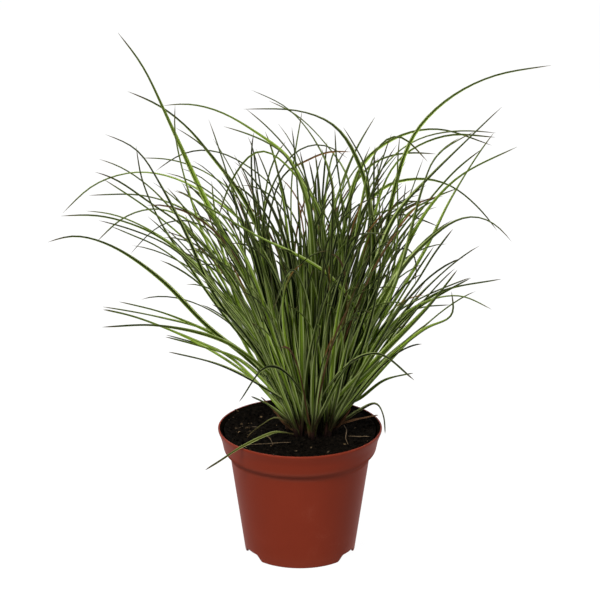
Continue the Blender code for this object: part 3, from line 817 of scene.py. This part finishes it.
class GRASS_OT_pot(bpy.types.Operator):
    """Turn the pot: collar, rounded lip, tapered wall and a foot with three notches"""

    bl_idname = "grass.pot"
    bl_label = "Pot"

    def execute(self, context):
        settings = context.scene.grass_pot
        lip = settings.lip_rounding
        collar_bottom = POT_HEIGHT - COLLAR_HEIGHT
        wall_top = collar_bottom - CHAMFER_HEIGHT
        lip_bottom = POT_HEIGHT - LIP_HEIGHT
        foot_inner = FOOT_RADIUS - WALL
        corners = (
            (0, FLOOR_RISE, 0),
            (foot_inner - 0.003, FLOOR_RISE, 0),
            (foot_inner - 0.001, FLOOR_RISE, 0.0003),
            (foot_inner, 0, 0.0004),
            (FOOT_RADIUS, 0, 0.0006),
            (WALL_TOP_RADIUS, wall_top, 0.0030),
            (COLLAR_BOTTOM_RADIUS, collar_bottom, 0.0026),
            (COLLAR_TOP_RADIUS, lip_bottom - FLARE_HEIGHT, 0.0035),
            (RIM_RADIUS, POT_HEIGHT - 0.0014, lip),
            (RIM_RADIUS, POT_HEIGHT, lip / 2),
            (RIM_RADIUS - LIP_WIDTH, POT_HEIGHT, lip / 2),
            (COLLAR_TOP_RADIUS - WALL, lip_bottom - 0.001, 0.0009),
            (COLLAR_BOTTOM_RADIUS - WALL, collar_bottom, 0.0012),
            (WALL_TOP_RADIUS - WALL, wall_top, 0.0012),
            (foot_inner + 0.001, FLOOR_RISE + WALL, 0.0010),
            (0, FLOOR_RISE + WALL, 0),
        )
        profile = with_rows(rounded(corners), POT_ROW)
        taper = (WALL_TOP_RADIUS - FOOT_RADIUS) / wall_top

        def notched(radius, height, angle):
            if height >= NOTCH_ZONE or radius < foot_inner - 0.002:
                return radius, height
            raised = notch_rise(angle)
            lifted = raised + height * (1 - raised / NOTCH_ZONE)
            return radius + taper * (lifted - height), lifted

        points, faces = turned(profile, POT_SIDES, notched)
        pot = mesh_piece("pot_shell", points, faces, pot_finish(settings), "pot_plastic", ["pot"])
        face_outwards(pot.data)
        rows = profile[1:-1]
        crest = max(range(len(rows)), key=lambda row: rows[row].y)
        # Rows of the inner wall below the lip and above a set height, which take the near-black second
        # finish
        dark_wall_rows = [
            row > crest and point.x < RIM_RADIUS - LIP_WIDTH + 0.0002 and point.y > DARK_WALL_FROM
            for row, point in enumerate(rows)
        ]
        pot.data.materials.append(dark_inner_wall_finish(settings))
        dark_wall_faces = [low and high for low, high in zip(dark_wall_rows, dark_wall_rows[1:])]
        slots = np.array(([0, 0] + dark_wall_faces) * POT_SIDES, np.int32)
        pot.data.polygons.foreach_set("material_index", slots)
        pot.data.set_sharp_from_angle(angle=POT_SHARP_ANGLE)
        return {"FINISHED"}


def soil_height(x, y, lump):
    """The height of the soil's lumpy top, which rises a little at the crown and up to the pot's wall."""
    spot = Vector((x, y, 0))
    lumpy = sum(share * noise.noise(spot * fine + start) for fine, start, share in LUMP_LAYERS)
    near = max(0.0, 1 - (Vector((x, y, CROWN.z)) - CROWN).length / CROWN_SPREAD)
    outer = max(0.0, (math.hypot(x, y) - BANK_FROM) / (SOIL_RADIUS - BANK_FROM))
    return SOIL_TOP + lump * lumpy + CROWN_RISE * near + BANK_RISE * outer ** 1.6


def lumps(rng, stones):
    """Small irregular stones, each given as its place, size and tone, as one set of points and faces."""
    golden = (1 + math.sqrt(5)) / 2
    spots = [np.roll((x, y, 0), turn) for turn in range(3) for y in (golden, -golden) for x in (-1, 1)]
    corners = np.array(spots) / math.hypot(1, golden)
    sides = np.array([
        (0, 11, 5), (0, 5, 1), (0, 1, 7), (0, 7, 10), (0, 10, 11), (1, 5, 9), (5, 11, 4),
        (11, 10, 2), (10, 7, 6), (7, 1, 8), (3, 9, 4), (3, 4, 2), (3, 2, 6), (3, 6, 8),
        (3, 8, 9), (4, 9, 5), (2, 4, 11), (6, 2, 10), (8, 6, 7), (9, 8, 1),
    ])
    points, faces, values = [], [], []
    for place, size, tone in stones:
        jolts = np.array([rng.uniform(*STONE_JOLTS) for _ in corners])[:, None]
        stretch = np.array([rng.uniform(*span) for span in STONE_STRETCH])
        turn = rng.uniform(0, math.tau)
        c, s = math.cos(turn), math.sin(turn)
        shaped = corners * jolts * stretch * size
        points.append(shaped @ np.array([(c, s, 0), (-s, c, 0), (0, 0, 1)]) + np.array(place))
        faces.append(sides + len(values))
        values += [tone] * len(corners)
    return np.concatenate(points), np.concatenate(faces), values


def on_soil(x, y, size, tone, lump):
    """A crumb that lies on the soil, as its place, size and tone."""
    return (x, y, soil_height(x, y, lump) + CRUMB_RAISED * size), size, tone


class GRASS_OT_soil(bpy.types.Operator):
    """Fill the pot with lumpy soil and scatter crumbs on it"""

    bl_idname = "grass.soil"
    bl_label = "Soil"

    def execute(self, context):
        settings = context.scene.grass_soil
        material = soil_finish(settings)
        self.bed(settings.lump, material)
        self.crumbs(settings.lump, settings.crumbs, material)
        return {"FINISHED"}

    def bed(self, lump, material):
        """The body of the soil: its top in many rings, and under it the form of the pot's inside."""

        def lumpy(radius, height, angle):
            if height < SOIL_TOP - MM:
                return radius, height
            return radius, soil_height(radius * math.cos(angle), radius * math.sin(angle), lump)

        radii = [SOIL_RADIUS * ring / SOIL_RINGS for ring in range(1, SOIL_RINGS + 1)]
        places = [(0, soil_height(0, 0, lump)), *[(radius, SOIL_TOP) for radius in radii], *SOIL_BODY]
        places.append((0, SOIL_LOW.z))
        points, faces = turned([Vector(place) for place in places], SOIL_SIDES, lumpy)
        piece = mesh_piece("soil_bed", points, faces, material, "potting_soil", ["soil"])
        face_outwards(piece.data)
        set_point_values(piece.data, "tone", np.zeros(len(points)))

    def crumbs(self, lump, count, material):
        rng = random.Random(SOIL_SEED)
        stones = []
        for _ in range(count):
            radius, angle = SOIL_RADIUS * math.sqrt(rng.uniform(0, 0.97)), rng.uniform(0, math.tau)
            size = CRUMB_SIZE + CRUMB_MORE * rng.random() ** 2.5
            tone = DARK_TONES_TO * rng.random() ** 2 if rng.random() < DARK_CRUMBS else PALE_CRUMB
            stones.append(on_soil(radius * math.cos(angle), radius * math.sin(angle), size, tone, lump))
        for _ in range(SPECKS):
            x, y = [rng.gauss(middle, spread) * MM for middle, spread in zip(SPECKS_AT, SPECKS_SPREAD)]
            size, tone = rng.uniform(*SPECK_SIZES) * MM, rng.uniform(*SPECK_TONES)
            stones.append(on_soil(x, y, size, tone, lump))
        for x, y, size in RIM_CRUMBS:
            stones.append(((x * MM, y * MM, POT_HEIGHT + 0.4 * size * MM), size * MM, 0.4))
        points, faces, tones = lumps(rng, stones)
        piece = mesh_piece("soil_crumbs", points, faces, material, "potting_soil", smooth=False)
        set_point_values(piece.data, "tone", tones)


def unit(rows):
    """Each row's direction, with a length of 1."""
    return rows / np.linalg.norm(rows, axis=1)[:, None]


def lengths_along(line):
    """The distance along the line from its start to each of its places."""
    return np.concatenate([[0], np.cumsum(np.linalg.norm(np.diff(line, axis=0), axis=1))])


def evenly(line, count):
    """So many places along the line, evenly spaced."""
    lengths = lengths_along(line)
    wanted = np.linspace(0, lengths[-1], count)
    return np.stack([np.interp(wanted, lengths, line[:, i]) for i in range(3)], axis=1)


def curve_through(points, count):
    """Evenly spaced places along one smooth centripetal curve through the points."""
    points = [np.array(p, float) for p in points]
    first, second = points[0], points[1]
    lift = (second - first) * START_PULL
    guide = [first - lift] + points + [2 * points[-1] - points[-2]]
    fine = []
    for four in zip(guide, guide[1:], guide[2:], guide[3:]):
        knots = [0.0]
        for one, other in zip(four, four[1:]):
            knots.append(knots[-1] + math.sqrt(np.linalg.norm(other - one)))
        for step in range(CURVE_STEPS):
            t = knots[1] + (knots[2] - knots[1]) * step / CURVE_STEPS
            level = list(four)
            for span in (1, 2):
                shares = [(t - knots[i]) / (knots[i + span] - knots[i]) for i in range(len(level) - 1)]
                level = [a + (b - a) * s for a, b, s in zip(level, level[1:], shares)]
            share = (t - knots[1]) / (knots[2] - knots[1])
            fine.append(level[0] + (level[1] - level[0]) * share)
    fine.append(points[-1])
    path = evenly(np.array(fine), count)
    for _ in range(SMOOTHING_ROUNDS):
        path[1:-1] = path[1:-1] / 2 + (path[:-2] + path[2:]) / 4
    return path


class Bunch:
    """Blades gathered into one mesh, with what their finish reads at each point."""

    def __init__(self):
        self.points, self.faces, self.corners = [], [], []
        self.values = {name: [] for name in POINT_VALUES}
        self.count = 0

    def add(self, path, width, fold, turn, twist, tone, dry, shape=None, held=SHORT_HOLD):
        """A keeled blade along the path. Its section is turned above its foot, and twisted to its tip."""
        along = np.linspace(0, 1, len(path))
        ahead = unit(np.gradient(path, axis=0))
        lean = path[-1] - path[0]
        lean[2] = 0
        lean /= max(1e-9, np.linalg.norm(lean))
        upper = unit(np.cross(np.cross(lean, (0, 0, 1)), ahead))
        sideways = np.cross(ahead, upper)
        opened = np.clip(along / TURN_SHARE, 0, 1)
        roll = (turn * opened * opened * (3 - 2 * opened) + twist * along ** 1.5)[:, None]
        across = sideways * np.cos(roll) + upper * np.sin(roll)
        upper = upper * np.cos(roll) - sideways * np.sin(roll)
        share = blade_width(along, held) if shape is None else shape(along)
        half = share * width / 2
        if shape is None:
            half = np.maximum(half, THIN_HALF_WIDTH * (1 - along ** 34))
        half = half + SHARP_TIP * (along > 0.5)
        folded = fold * (1 + LOW_FOLD * np.clip(1 - along / TURN_SHARE, 0, 1))
        columns = []
        for column, u in enumerate(ACROSS):
            rise = folded * half * abs(u) ** 1.1
            if column > TOP_COLUMNS:
                rise = rise - BLADE_THICKNESS * (1 - u * u) * np.minimum(1, half / FULL_THICKNESS_FROM)
            columns.append(path + across * (u * half)[:, None] + upper * rise[:, None])
        self.add_faces(len(self.values["tone"]), along)
        tip = path[-1] + ahead[-1] * SHARP_TIP
        self.points.append(np.concatenate([np.stack(columns, axis=1).reshape(-1, 3), tip[None]]))
        lengths = lengths_along(path)
        size = len(path) * RING + 1
        self.values["tone"] += [tone] * size
        self.values["dry"] += [dry] * size
        self.values["run"] += [*np.repeat(lengths, RING), lengths[-1]]
        self.values["core"] += [*np.repeat(painted_shade_share(path), RING), 0.0]
        self.count += 1

    def add_faces(self, start, along):
        """Joins the blade's rings and closes both its ends."""
        u = [(value + 1) / 2 for value in ACROSS]
        last, tip = start + (len(along) - 1) * RING, start + len(along) * RING
        for i, (here, above) in enumerate(zip(along, along[1:])):
            low, high = start + i * RING, start + (i + 1) * RING
            for j in range(RING):
                k = (j + 1) % RING
                places = (j, u[j], here), (j + 1, u[k], here), (j + 1, u[k], above), (j, u[j], above)
                self.add_face((low + j, low + k, high + k, high + j), places)
        for j in range(RING):
            k = (j + 1) % RING
            places = (j, u[j], along[-2]), (j + 1, u[k], along[-2]), (j + 0.5, (u[j] + u[k]) / 2, 1.0)
            self.add_face((last + j, last + k, tip), places)
        foot = range(RING - 1, -1, -1)
        self.add_face(tuple(start + j for j in foot), [(j, u[j], 0.0) for j in foot])

    def add_face(self, face, places):
        """A face, and for each of its corners the place round its ring, across and along the blade."""
        self.faces.append(face)
        self.corners += [(self.count, *place) for place in places]

    def finish(self, name, material, slot, nodes=()):
        piece = mesh_piece(name, np.concatenate(self.points), self.faces, material, slot, nodes)
        mesh = piece.data
        mesh.set_sharp_from_angle(angle=KEEL_ANGLE)
        corners = np.array(self.corners)
        for label, places in (("blade", corners[:, 2:4]), ("OFBake", self.strips(corners))):
            layer = mesh.uv_layers.new(name=label)
            layer.data.foreach_set("uv", places.astype(np.float32).reshape(-1))
        for label, values in self.values.items():
            set_point_values(mesh, label, values)

    def strips(self, corners):
        """A second map, where each blade's ring is unrolled into a strip of its own."""
        strip = corners[:, 0] + STRIP_EDGE + (1 - 2 * STRIP_EDGE) * corners[:, 1] / RING
        return np.stack([strip / self.count, STRIP_END + (1 - 2 * STRIP_END) * corners[:, 3]], axis=1)


def painted_shade_share(path):
    """How deep inside the clump each place lies, for painted shade: 1 at its heart and 0 on its outside."""
    out = np.hypot(path[:, 0] - CROWN.x, path[:, 1] - CROWN.y)
    up = path[:, 2] - SOIL_TOP
    opened = np.clip(np.arctan2(out, up + CORE_ROOT) / CORE_ANGLE, 0, 1)
    return (1 - CORE_LOSS * opened ** 2) * (1 - np.clip(up / CORE_HEIGHT, 0, 1) ** 2)


def blade_width(along, held):
    """Share of full width: narrow in the sheath, full until held, then a long thin end."""
    opening = BASE_WIDTH + (1 - BASE_WIDTH) * np.clip(along / FULL_BY, 0, 1)
    closed = np.clip((along - held) / CLOSES_OVER, 0, 1)
    closing = 1 - closed * closed * (3 - 2 * closed)
    return opening * ((1 - END_WIDTH) * closing + END_WIDTH * (1 - along ** 40))


def blade_tone(rng):
    """How fresh a filling blade's green is: most are deep, and the rest are bright."""
    return rng.uniform(*DEEP_TONES) if rng.random() < DEEP_BLADES else rng.uniform(*BRIGHT_TONES)


def sheath_width(along):
    """A short sheath: broad at its foot, drawn in to a ragged point."""
    return (1 - 0.25 * along) * (1 - np.clip((along - 0.45) / 0.55, 0, 1) ** 1.8)


def shoot_angle(name):
    return math.radians(SHOOT_DEGREES * SHOOT_NAMES.index(name))


def shoot_direction(name):
    angle = shoot_angle(name)
    return Vector((math.cos(angle), math.sin(angle), 0))


def shoot_place(name):
    return CROWN + shoot_direction(name) * SHOOT_RING_RADIUS


def spot_on_shoot(name, along, across):
    """A place just under the soil on the shoot's plan: along its length and across it, from -1 to 1."""
    outward = shoot_direction(name)
    sideways = Vector((-outward.y, outward.x, 0))
    spot = shoot_place(name) + outward * (along * SHOOT_HALF_LENGTH)
    spot += sideways * (across * SHOOT_HALF_WIDTH)
    spot.z = BASE_LEVEL
    return spot


def root_of(node_name):
    """Where a named blade's solid stands on its shoot, read from the solid's level foot."""
    level = max(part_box("shoot_" + shoot)[1].z for shoot in SHOOT_NAMES) + FOOT_GAP
    places = [vertex.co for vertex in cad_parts[node_name].data.vertices]
    foot = [place for place in places if abs(place.z - level) < LEVEL_WITHIN]
    if not foot:
        raise RuntimeError(f"{node_name} has no level foot on its shoot")
    return sum(foot, Vector()) / len(foot)


def base_under(root, shoot):
    """The place in the soil from which a blade rises to its root, drawn in to the shoot's middle."""
    base = root.lerp(shoot_place(shoot), BASE_PULL)
    base.z = BASE_LEVEL
    return base


class GRASS_OT_named_blades(bpy.types.Operator):
    """Grow the fifty named blades, each in the place of its solid"""

    bl_idname = "grass.named_blades"
    bl_label = "Named Blades"

    def execute(self, context):
        settings = context.scene.grass_blades
        material = blade_finish(settings)
        rng = random.Random(settings.seed)
        for name, shoot, width, *points in NAMED_BLADES:
            root = root_of("blade_" + name)
            lead = [base_under(root, shoot)] if name == LOW_START else [base_under(root, shoot), root]
            path = curve_through(lead + [Vector(point) * MM for point in points], BLADE_STATIONS)
            turn = rng.choice((-1, 1)) * rng.uniform(*NAMED_TURNS)
            twist, tone, dry = rng.uniform(*NAMED_TWISTS), rng.uniform(*NAMED_TONES), 0.0
            # Blades that lean towards the camera get a darker tone, as painted shade
            if name.startswith(SHADED_SIDE_PREFIX):
                tone *= SHADED_SIDE_TONE
            if name == LOW_START:
                tone, dry = LOW_START_TONE, LOW_START_DRY
            bunch = Bunch()
            bunch.add(path, width * MM, settings.fold, turn, twist, tone, dry, held=LONG_HOLD)
            bunch.finish("leaf_" + name, material, "blade", ["blade_" + name])
        return {"FINISHED"}


def grown_path(start, azimuth, length, lean, bend, power, towards, count):
    """A blade that leans from upright, and bends over towards a direction of its own to its tip."""
    turn = (bend * np.linspace(0, 1, count) ** power)[:, None]
    flat = math.sin(lean)
    first = np.array((flat * math.cos(azimuth), flat * math.sin(azimuth), math.cos(lean)))
    axis = np.array((-math.sin(towards), math.cos(towards), 0))
    ahead = first * np.cos(turn) + np.cross(axis, first) * np.sin(turn)
    ahead += axis * (axis @ first) * (1 - np.cos(turn))
    moves = (ahead[:-1] + ahead[1:]) / 2 * length / (count - 1)
    return np.concatenate([[np.array(start)], np.array(start) + np.cumsum(moves, axis=0)])


def outside_share(point):
    """How far out a place lies: 1 on the rounded outline that the clump's mass of blades fills."""
    return math.sqrt(sum(((point[i] - CROWN[i]) / MASS_REACH[i]) ** 2 for i in range(3)))


def seen_place(across, down, depth):
    """The place at this depth, in millimetres, that the camera sees at this spot of the frame."""
    ray = Vector(((across - FRAME / 2) / FOCAL, -(down - FRAME / 2) / FOCAL, -1))
    ray.rotate(Euler((math.radians(90 - CAMERA_PITCH_DOWN), 0, 0)))
    return CAMERA_PLACE + ray * ((depth * MM - CAMERA_PLACE.y) / ray.y)


def placed_on(shoot):
    """The width, dryness and points of each blade that is placed on this shoot."""
    for other, width, dry, *points in PLACED_BLADES:
        if other == shoot:
            yield width, dry, [Vector(point) * MM for point in points]
    start = shoot_place(shoot).y / MM
    for other, width, depth, *spots in SEEN_BLADES:
        if other == shoot:
            shares = [(number + 1) / len(spots) for number in range(len(spots))]
            depths = [start + (depth - start) * share for share in shares]
            yield width, 0.0, [seen_place(*spot, deep) for spot, deep in zip(spots, depths)]


class GRASS_OT_filling_blades(bpy.types.Operator):
    """Fill the clump with the many blades that have no solid of their own, joined by shoot"""

    bl_idname = "grass.filling_blades"
    bl_label = "Filling Blades"

    def execute(self, context):
        settings = context.scene.grass_blades
        material = bpy.data.materials["striped_leaf"]
        rng = random.Random(settings.seed + 1)
        for shoot in SHOOT_NAMES:
            bunch = Bunch()
            for kind, share in KINDS:
                for _ in range(round(settings.fillers * share)):
                    self.grow(rng, bunch, shoot, kind, settings.fold)
            for width, dry, points in placed_on(shoot):
                self.place(rng, bunch, shoot, width * MM, dry, points, settings.fold)
            bunch.finish("filling_" + shoot, material, "blade")
        return {"FINISHED"}

    def place(self, rng, bunch, shoot, width, dry, points, fold):
        """A blade from the shoot's middle through these points."""
        start = spot_on_shoot(shoot, rng.uniform(-0.5, 0.5), rng.uniform(-0.5, 0.5))
        path = curve_through([start] + points, BLADE_STATIONS)
        turn = rng.choice((-1, 1)) * rng.uniform(*PLACED_TURNS)
        bunch.add(path, width, fold, turn, rng.uniform(*PLACED_TWISTS), blade_tone(rng), dry)

    def grow(self, rng, bunch, shoot, kind, fold):
        """One blade of its kind, shortened until it stays inside the clump's mass."""
        lean_range, bend_range, length_range, spread, side_lean = kind
        start = spot_on_shoot(shoot, rng.uniform(-0.6, 0.5), rng.uniform(-0.6, 0.6))
        azimuth = shoot_angle(shoot) + rng.gauss(0, math.radians(spread))
        lean = math.radians(rng.uniform(*lean_range)) * (1 - side_lean * math.cos(azimuth))
        bend = math.radians(rng.uniform(*bend_range))
        length = rng.uniform(*length_range)
        power = rng.uniform(*FILLER_POWERS)
        towards = azimuth + rng.gauss(0, 1.0)
        dry = rng.uniform(0.6, 1.0) if rng.random() <= DRY_FILLERS else 0.0
        width = rng.uniform(*FILLER_WIDTHS) * MM * (1 - 0.5 * dry)
        most = rng.uniform(*MOST_REACH) * (1 - REACH_MORE_LEFT * math.cos(azimuth))
        while True:
            path = grown_path(start, azimuth, length, lean, bend, power, towards, FILLER_STATIONS)
            if max(outside_share(point) for point in path[CLEAR_STATION:]) < most or length < SHORTEST:
                break
            length *= 0.95
        turn = rng.uniform(*FILLER_TURNS)
        bunch.add(path, width, fold, turn, rng.uniform(*FILLER_TWISTS), blade_tone(rng), dry)


class GRASS_OT_shoots(bpy.types.Operator):
    """Wrap each shoot in short brown sheaths, in the place of its solid"""

    bl_idname = "grass.shoots"
    bl_label = "Shoots"

    def execute(self, context):
        settings = context.scene.grass_blades
        material = sheath_finish(settings)
        rng = random.Random(settings.seed + 2)
        for shoot in SHOOT_NAMES:
            bunch = Bunch()
            for number in range(settings.sheaths):
                turn = math.tau * (number + rng.uniform(-0.3, 0.3)) / settings.sheaths
                inner = rng.choice(SHEATH_RINGS)
                start = spot_on_shoot(shoot, inner * math.cos(turn), inner * math.sin(turn))
                away = start - shoot_place(shoot)
                azimuth = math.atan2(away.y, away.x)
                length = rng.uniform(*SHEATH_LENGTHS)
                lean, bend = [math.radians(rng.uniform(*span)) for span in (SHEATH_LEANS, SHEATH_BENDS)]
                path = grown_path(start, azimuth, length, lean, bend, SHEATH_POWER, azimuth, SHEATH_STATIONS)
                dry = 1.0 if rng.random() < DRY_SHEATHS else 0.0
                width, twist = rng.uniform(*SHEATH_WIDTHS), rng.uniform(*SHEATH_TWISTS)
                bunch.add(path, width, SHEATH_FOLD, 0.0, twist, rng.random(), dry, sheath_width)
            bunch.finish("sheaths_" + shoot, material, "sheath", ["shoot_" + shoot])
        return {"FINISHED"}


def tube(points, radius, sides=7):
    """A thin round strand through the points, drawn in to both ends."""
    line = curve_through(points, STRAND_STATIONS)
    ahead = unit(np.gradient(line, axis=0))
    across = unit(np.cross(ahead, (0, 0, 1)))
    upper = np.cross(across, ahead)
    thickness = radius * (0.35 + 0.65 * np.sin(np.linspace(0.15, math.pi - 0.15, len(line))))
    rings = []
    for turn in [math.tau * side / sides for side in range(sides)]:
        rings.append(line + (across * math.cos(turn) + upper * math.sin(turn)) * thickness[:, None])
    last = (len(line) - 1) * sides
    faces = [tuple(reversed(range(sides))), tuple(range(last, last + sides))]
    for low in range(0, last, sides):
        for side in range(sides):
            after = (side + 1) % sides
            faces.append((low + side, low + after, low + sides + after, low + sides + side))
    return np.stack(rings, axis=1).reshape(-1, 3), faces


class GRASS_OT_litter(bpy.types.Operator):
    """Lay roots, dry strands and chips of bark on the soil"""

    bl_idname = "grass.litter"
    bl_label = "Litter"

    def execute(self, context):
        settings = context.scene.grass_soil
        material = fibre_finish(settings)
        self.strands(material)
        self.chips(settings.lump, material)
        return {"FINISHED"}

    def strands(self, material):
        points, faces, tones = [], [], []
        for tone, radius, *line in STRANDS:
            corners, sides = tube([Vector(point) * MM for point in line], radius * MM)
            faces += [tuple(corner + len(tones) for corner in side) for side in sides]
            points.append(corners)
            tones += [tone] * len(corners)
        piece = mesh_piece("dry_strands", np.concatenate(points), faces, material, "sheath")
        face_outwards(piece.data)
        set_point_values(piece.data, "tone", tones)

    def chips(self, lump, material):
        stones = []
        for tone, length, (x, y), _ in CHIPS:
            height = soil_height(x * MM, y * MM, lump) + CHIP_RAISED
            stones.append(((x * MM, y * MM, height), length * MM / 2, tone))
        points, faces, tones = lumps(random.Random(CHIP_SEED), stones)
        for number, own in enumerate(np.split(points, len(CHIPS))):
            place, turn = np.array(stones[number][0]), math.radians(CHIPS[number][3])
            along = np.array((math.cos(turn), math.sin(turn), 0))
            local = own - place
            own[:] = place + local * CHIP_NARROW + np.outer(local @ along, along) * CHIP_LONG
        piece = mesh_piece("bark_chips", points, faces, material, "sheath", smooth=False)
        face_outwards(piece.data)
        set_point_values(piece.data, "tone", tones)


class GRASS_OT_stage(bpy.types.Operator):
    """Set the pale floor, the soft studio light and the camera at the photographed angle"""

    bl_idname = "grass.stage"
    bl_label = "Stage"

    def execute(self, context):
        scene = context.scene
        scene.view_settings.view_transform = "Standard"
        camera = new_object("camera", bpy.data.cameras.new("camera"))
        camera.data.lens = CAMERA_LENS
        camera.data.sensor_width = SENSOR
        camera.data.clip_end = 50
        camera.location = CAMERA_PLACE
        camera.rotation_euler = (math.radians(90 - CAMERA_PITCH_DOWN), 0, 0)
        scene.camera = camera
        self.backdrop()
        for name, place, size, power in LAMPS:
            self.light(name, Vector(place), size, power)
        scene.world = bpy.data.worlds.new("studio")
        scene.world.use_nodes = True
        air = scene.world.node_tree.nodes["Background"].inputs
        air["Color"].default_value = (1, 1, 1, 1)
        air["Strength"].default_value = ROOM_LIGHT
        return {"FINISHED"}

    def backdrop(self):
        """A floor and a dome of white paper, which are seen and mirrored but light nothing."""
        finish = Finish("white_paper")
        finish.give(finish.shader.inputs["Emission Color"], (1, 1, 1))
        finish.give(finish.shader.inputs["Emission Strength"], PAPER_GLOW)
        paper = finish.surface(PAPER_COLOUR, 0.9, 0.0)
        bm = bmesh.new()
        bmesh.ops.create_circle(bm, cap_ends=True, segments=DOME_SIDES, radius=DOME_RADIUS)
        self.paper_piece("floor", bm, paper)
        bm = bmesh.new()
        bmesh.ops.create_uvsphere(
            bm, u_segments=DOME_SIDES, v_segments=DOME_SIDES // 2, radius=DOME_RADIUS
        )
        below = [vertex for vertex in bm.verts if vertex.co.z < -0.01]
        bmesh.ops.delete(bm, geom=below, context="VERTS")
        self.paper_piece("dome", bm, paper)

    def paper_piece(self, name, bm, paper):
        mesh = bpy.data.meshes.new(name)
        bm.to_mesh(mesh)
        bm.free()
        mesh.materials.append(paper)
        piece = new_object(name, mesh)
        piece.visible_diffuse = False
        piece.visible_shadow = False

    def light(self, name, place, size, power):
        lamp = new_object(name, bpy.data.lights.new(name, "AREA"))
        lamp.data.shape = "DISK"
        lamp.data.size = size
        lamp.data.energy = power
        lamp.location = place
        lamp.visible_camera = False
        lamp.rotation_euler = (LAMP_AIM - place).to_track_quat("-Z", "Y").to_euler()


SETTINGS = (PotSettings, SoilSettings, GrassSettings)
OPERATORS = (
    GRASS_OT_stage,
    GRASS_OT_pot,
    GRASS_OT_soil,
    GRASS_OT_litter,
    GRASS_OT_shoots,
    GRASS_OT_named_blades,
    GRASS_OT_filling_blades,
)


class GRASS_PT_sidebar(bpy.types.Panel):
    """Lists the pieces of the potted grass clump"""

    bl_idname = "GRASS_PT_sidebar"
    bl_label = "Potted Grass Clump"
    bl_space_type = "VIEW_3D"
    bl_region_type = "UI"
    bl_category = "Grass"

    def draw(self, context):
        layout = self.layout
        for group in (context.scene.grass_pot, context.scene.grass_soil, context.scene.grass_blades):
            column = layout.column(align=True)
            for name in group.__annotations__:
                column.prop(group, name)
        for operator in OPERATORS:
            layout.operator(operator.bl_idname)


def register():
    for made in SETTINGS + OPERATORS + (GRASS_PT_sidebar,):
        bpy.utils.register_class(made)
    bpy.types.Scene.grass_pot = PointerProperty(type=PotSettings)
    bpy.types.Scene.grass_soil = PointerProperty(type=SoilSettings)
    bpy.types.Scene.grass_blades = PointerProperty(type=GrassSettings)


def unregister():
    del bpy.types.Scene.grass_blades
    del bpy.types.Scene.grass_soil
    del bpy.types.Scene.grass_pot
    for made in reversed(SETTINGS + OPERATORS + (GRASS_PT_sidebar,)):
        bpy.utils.unregister_class(made)


def main():
    register()
    bpy.ops.grass.stage()
    bpy.ops.grass.pot()
    bpy.ops.grass.soil()
    bpy.ops.grass.litter()
    bpy.ops.grass.shoots()
    bpy.ops.grass.named_blades()
    bpy.ops.grass.filling_blades()


if __name__ == "__main__":
    main()
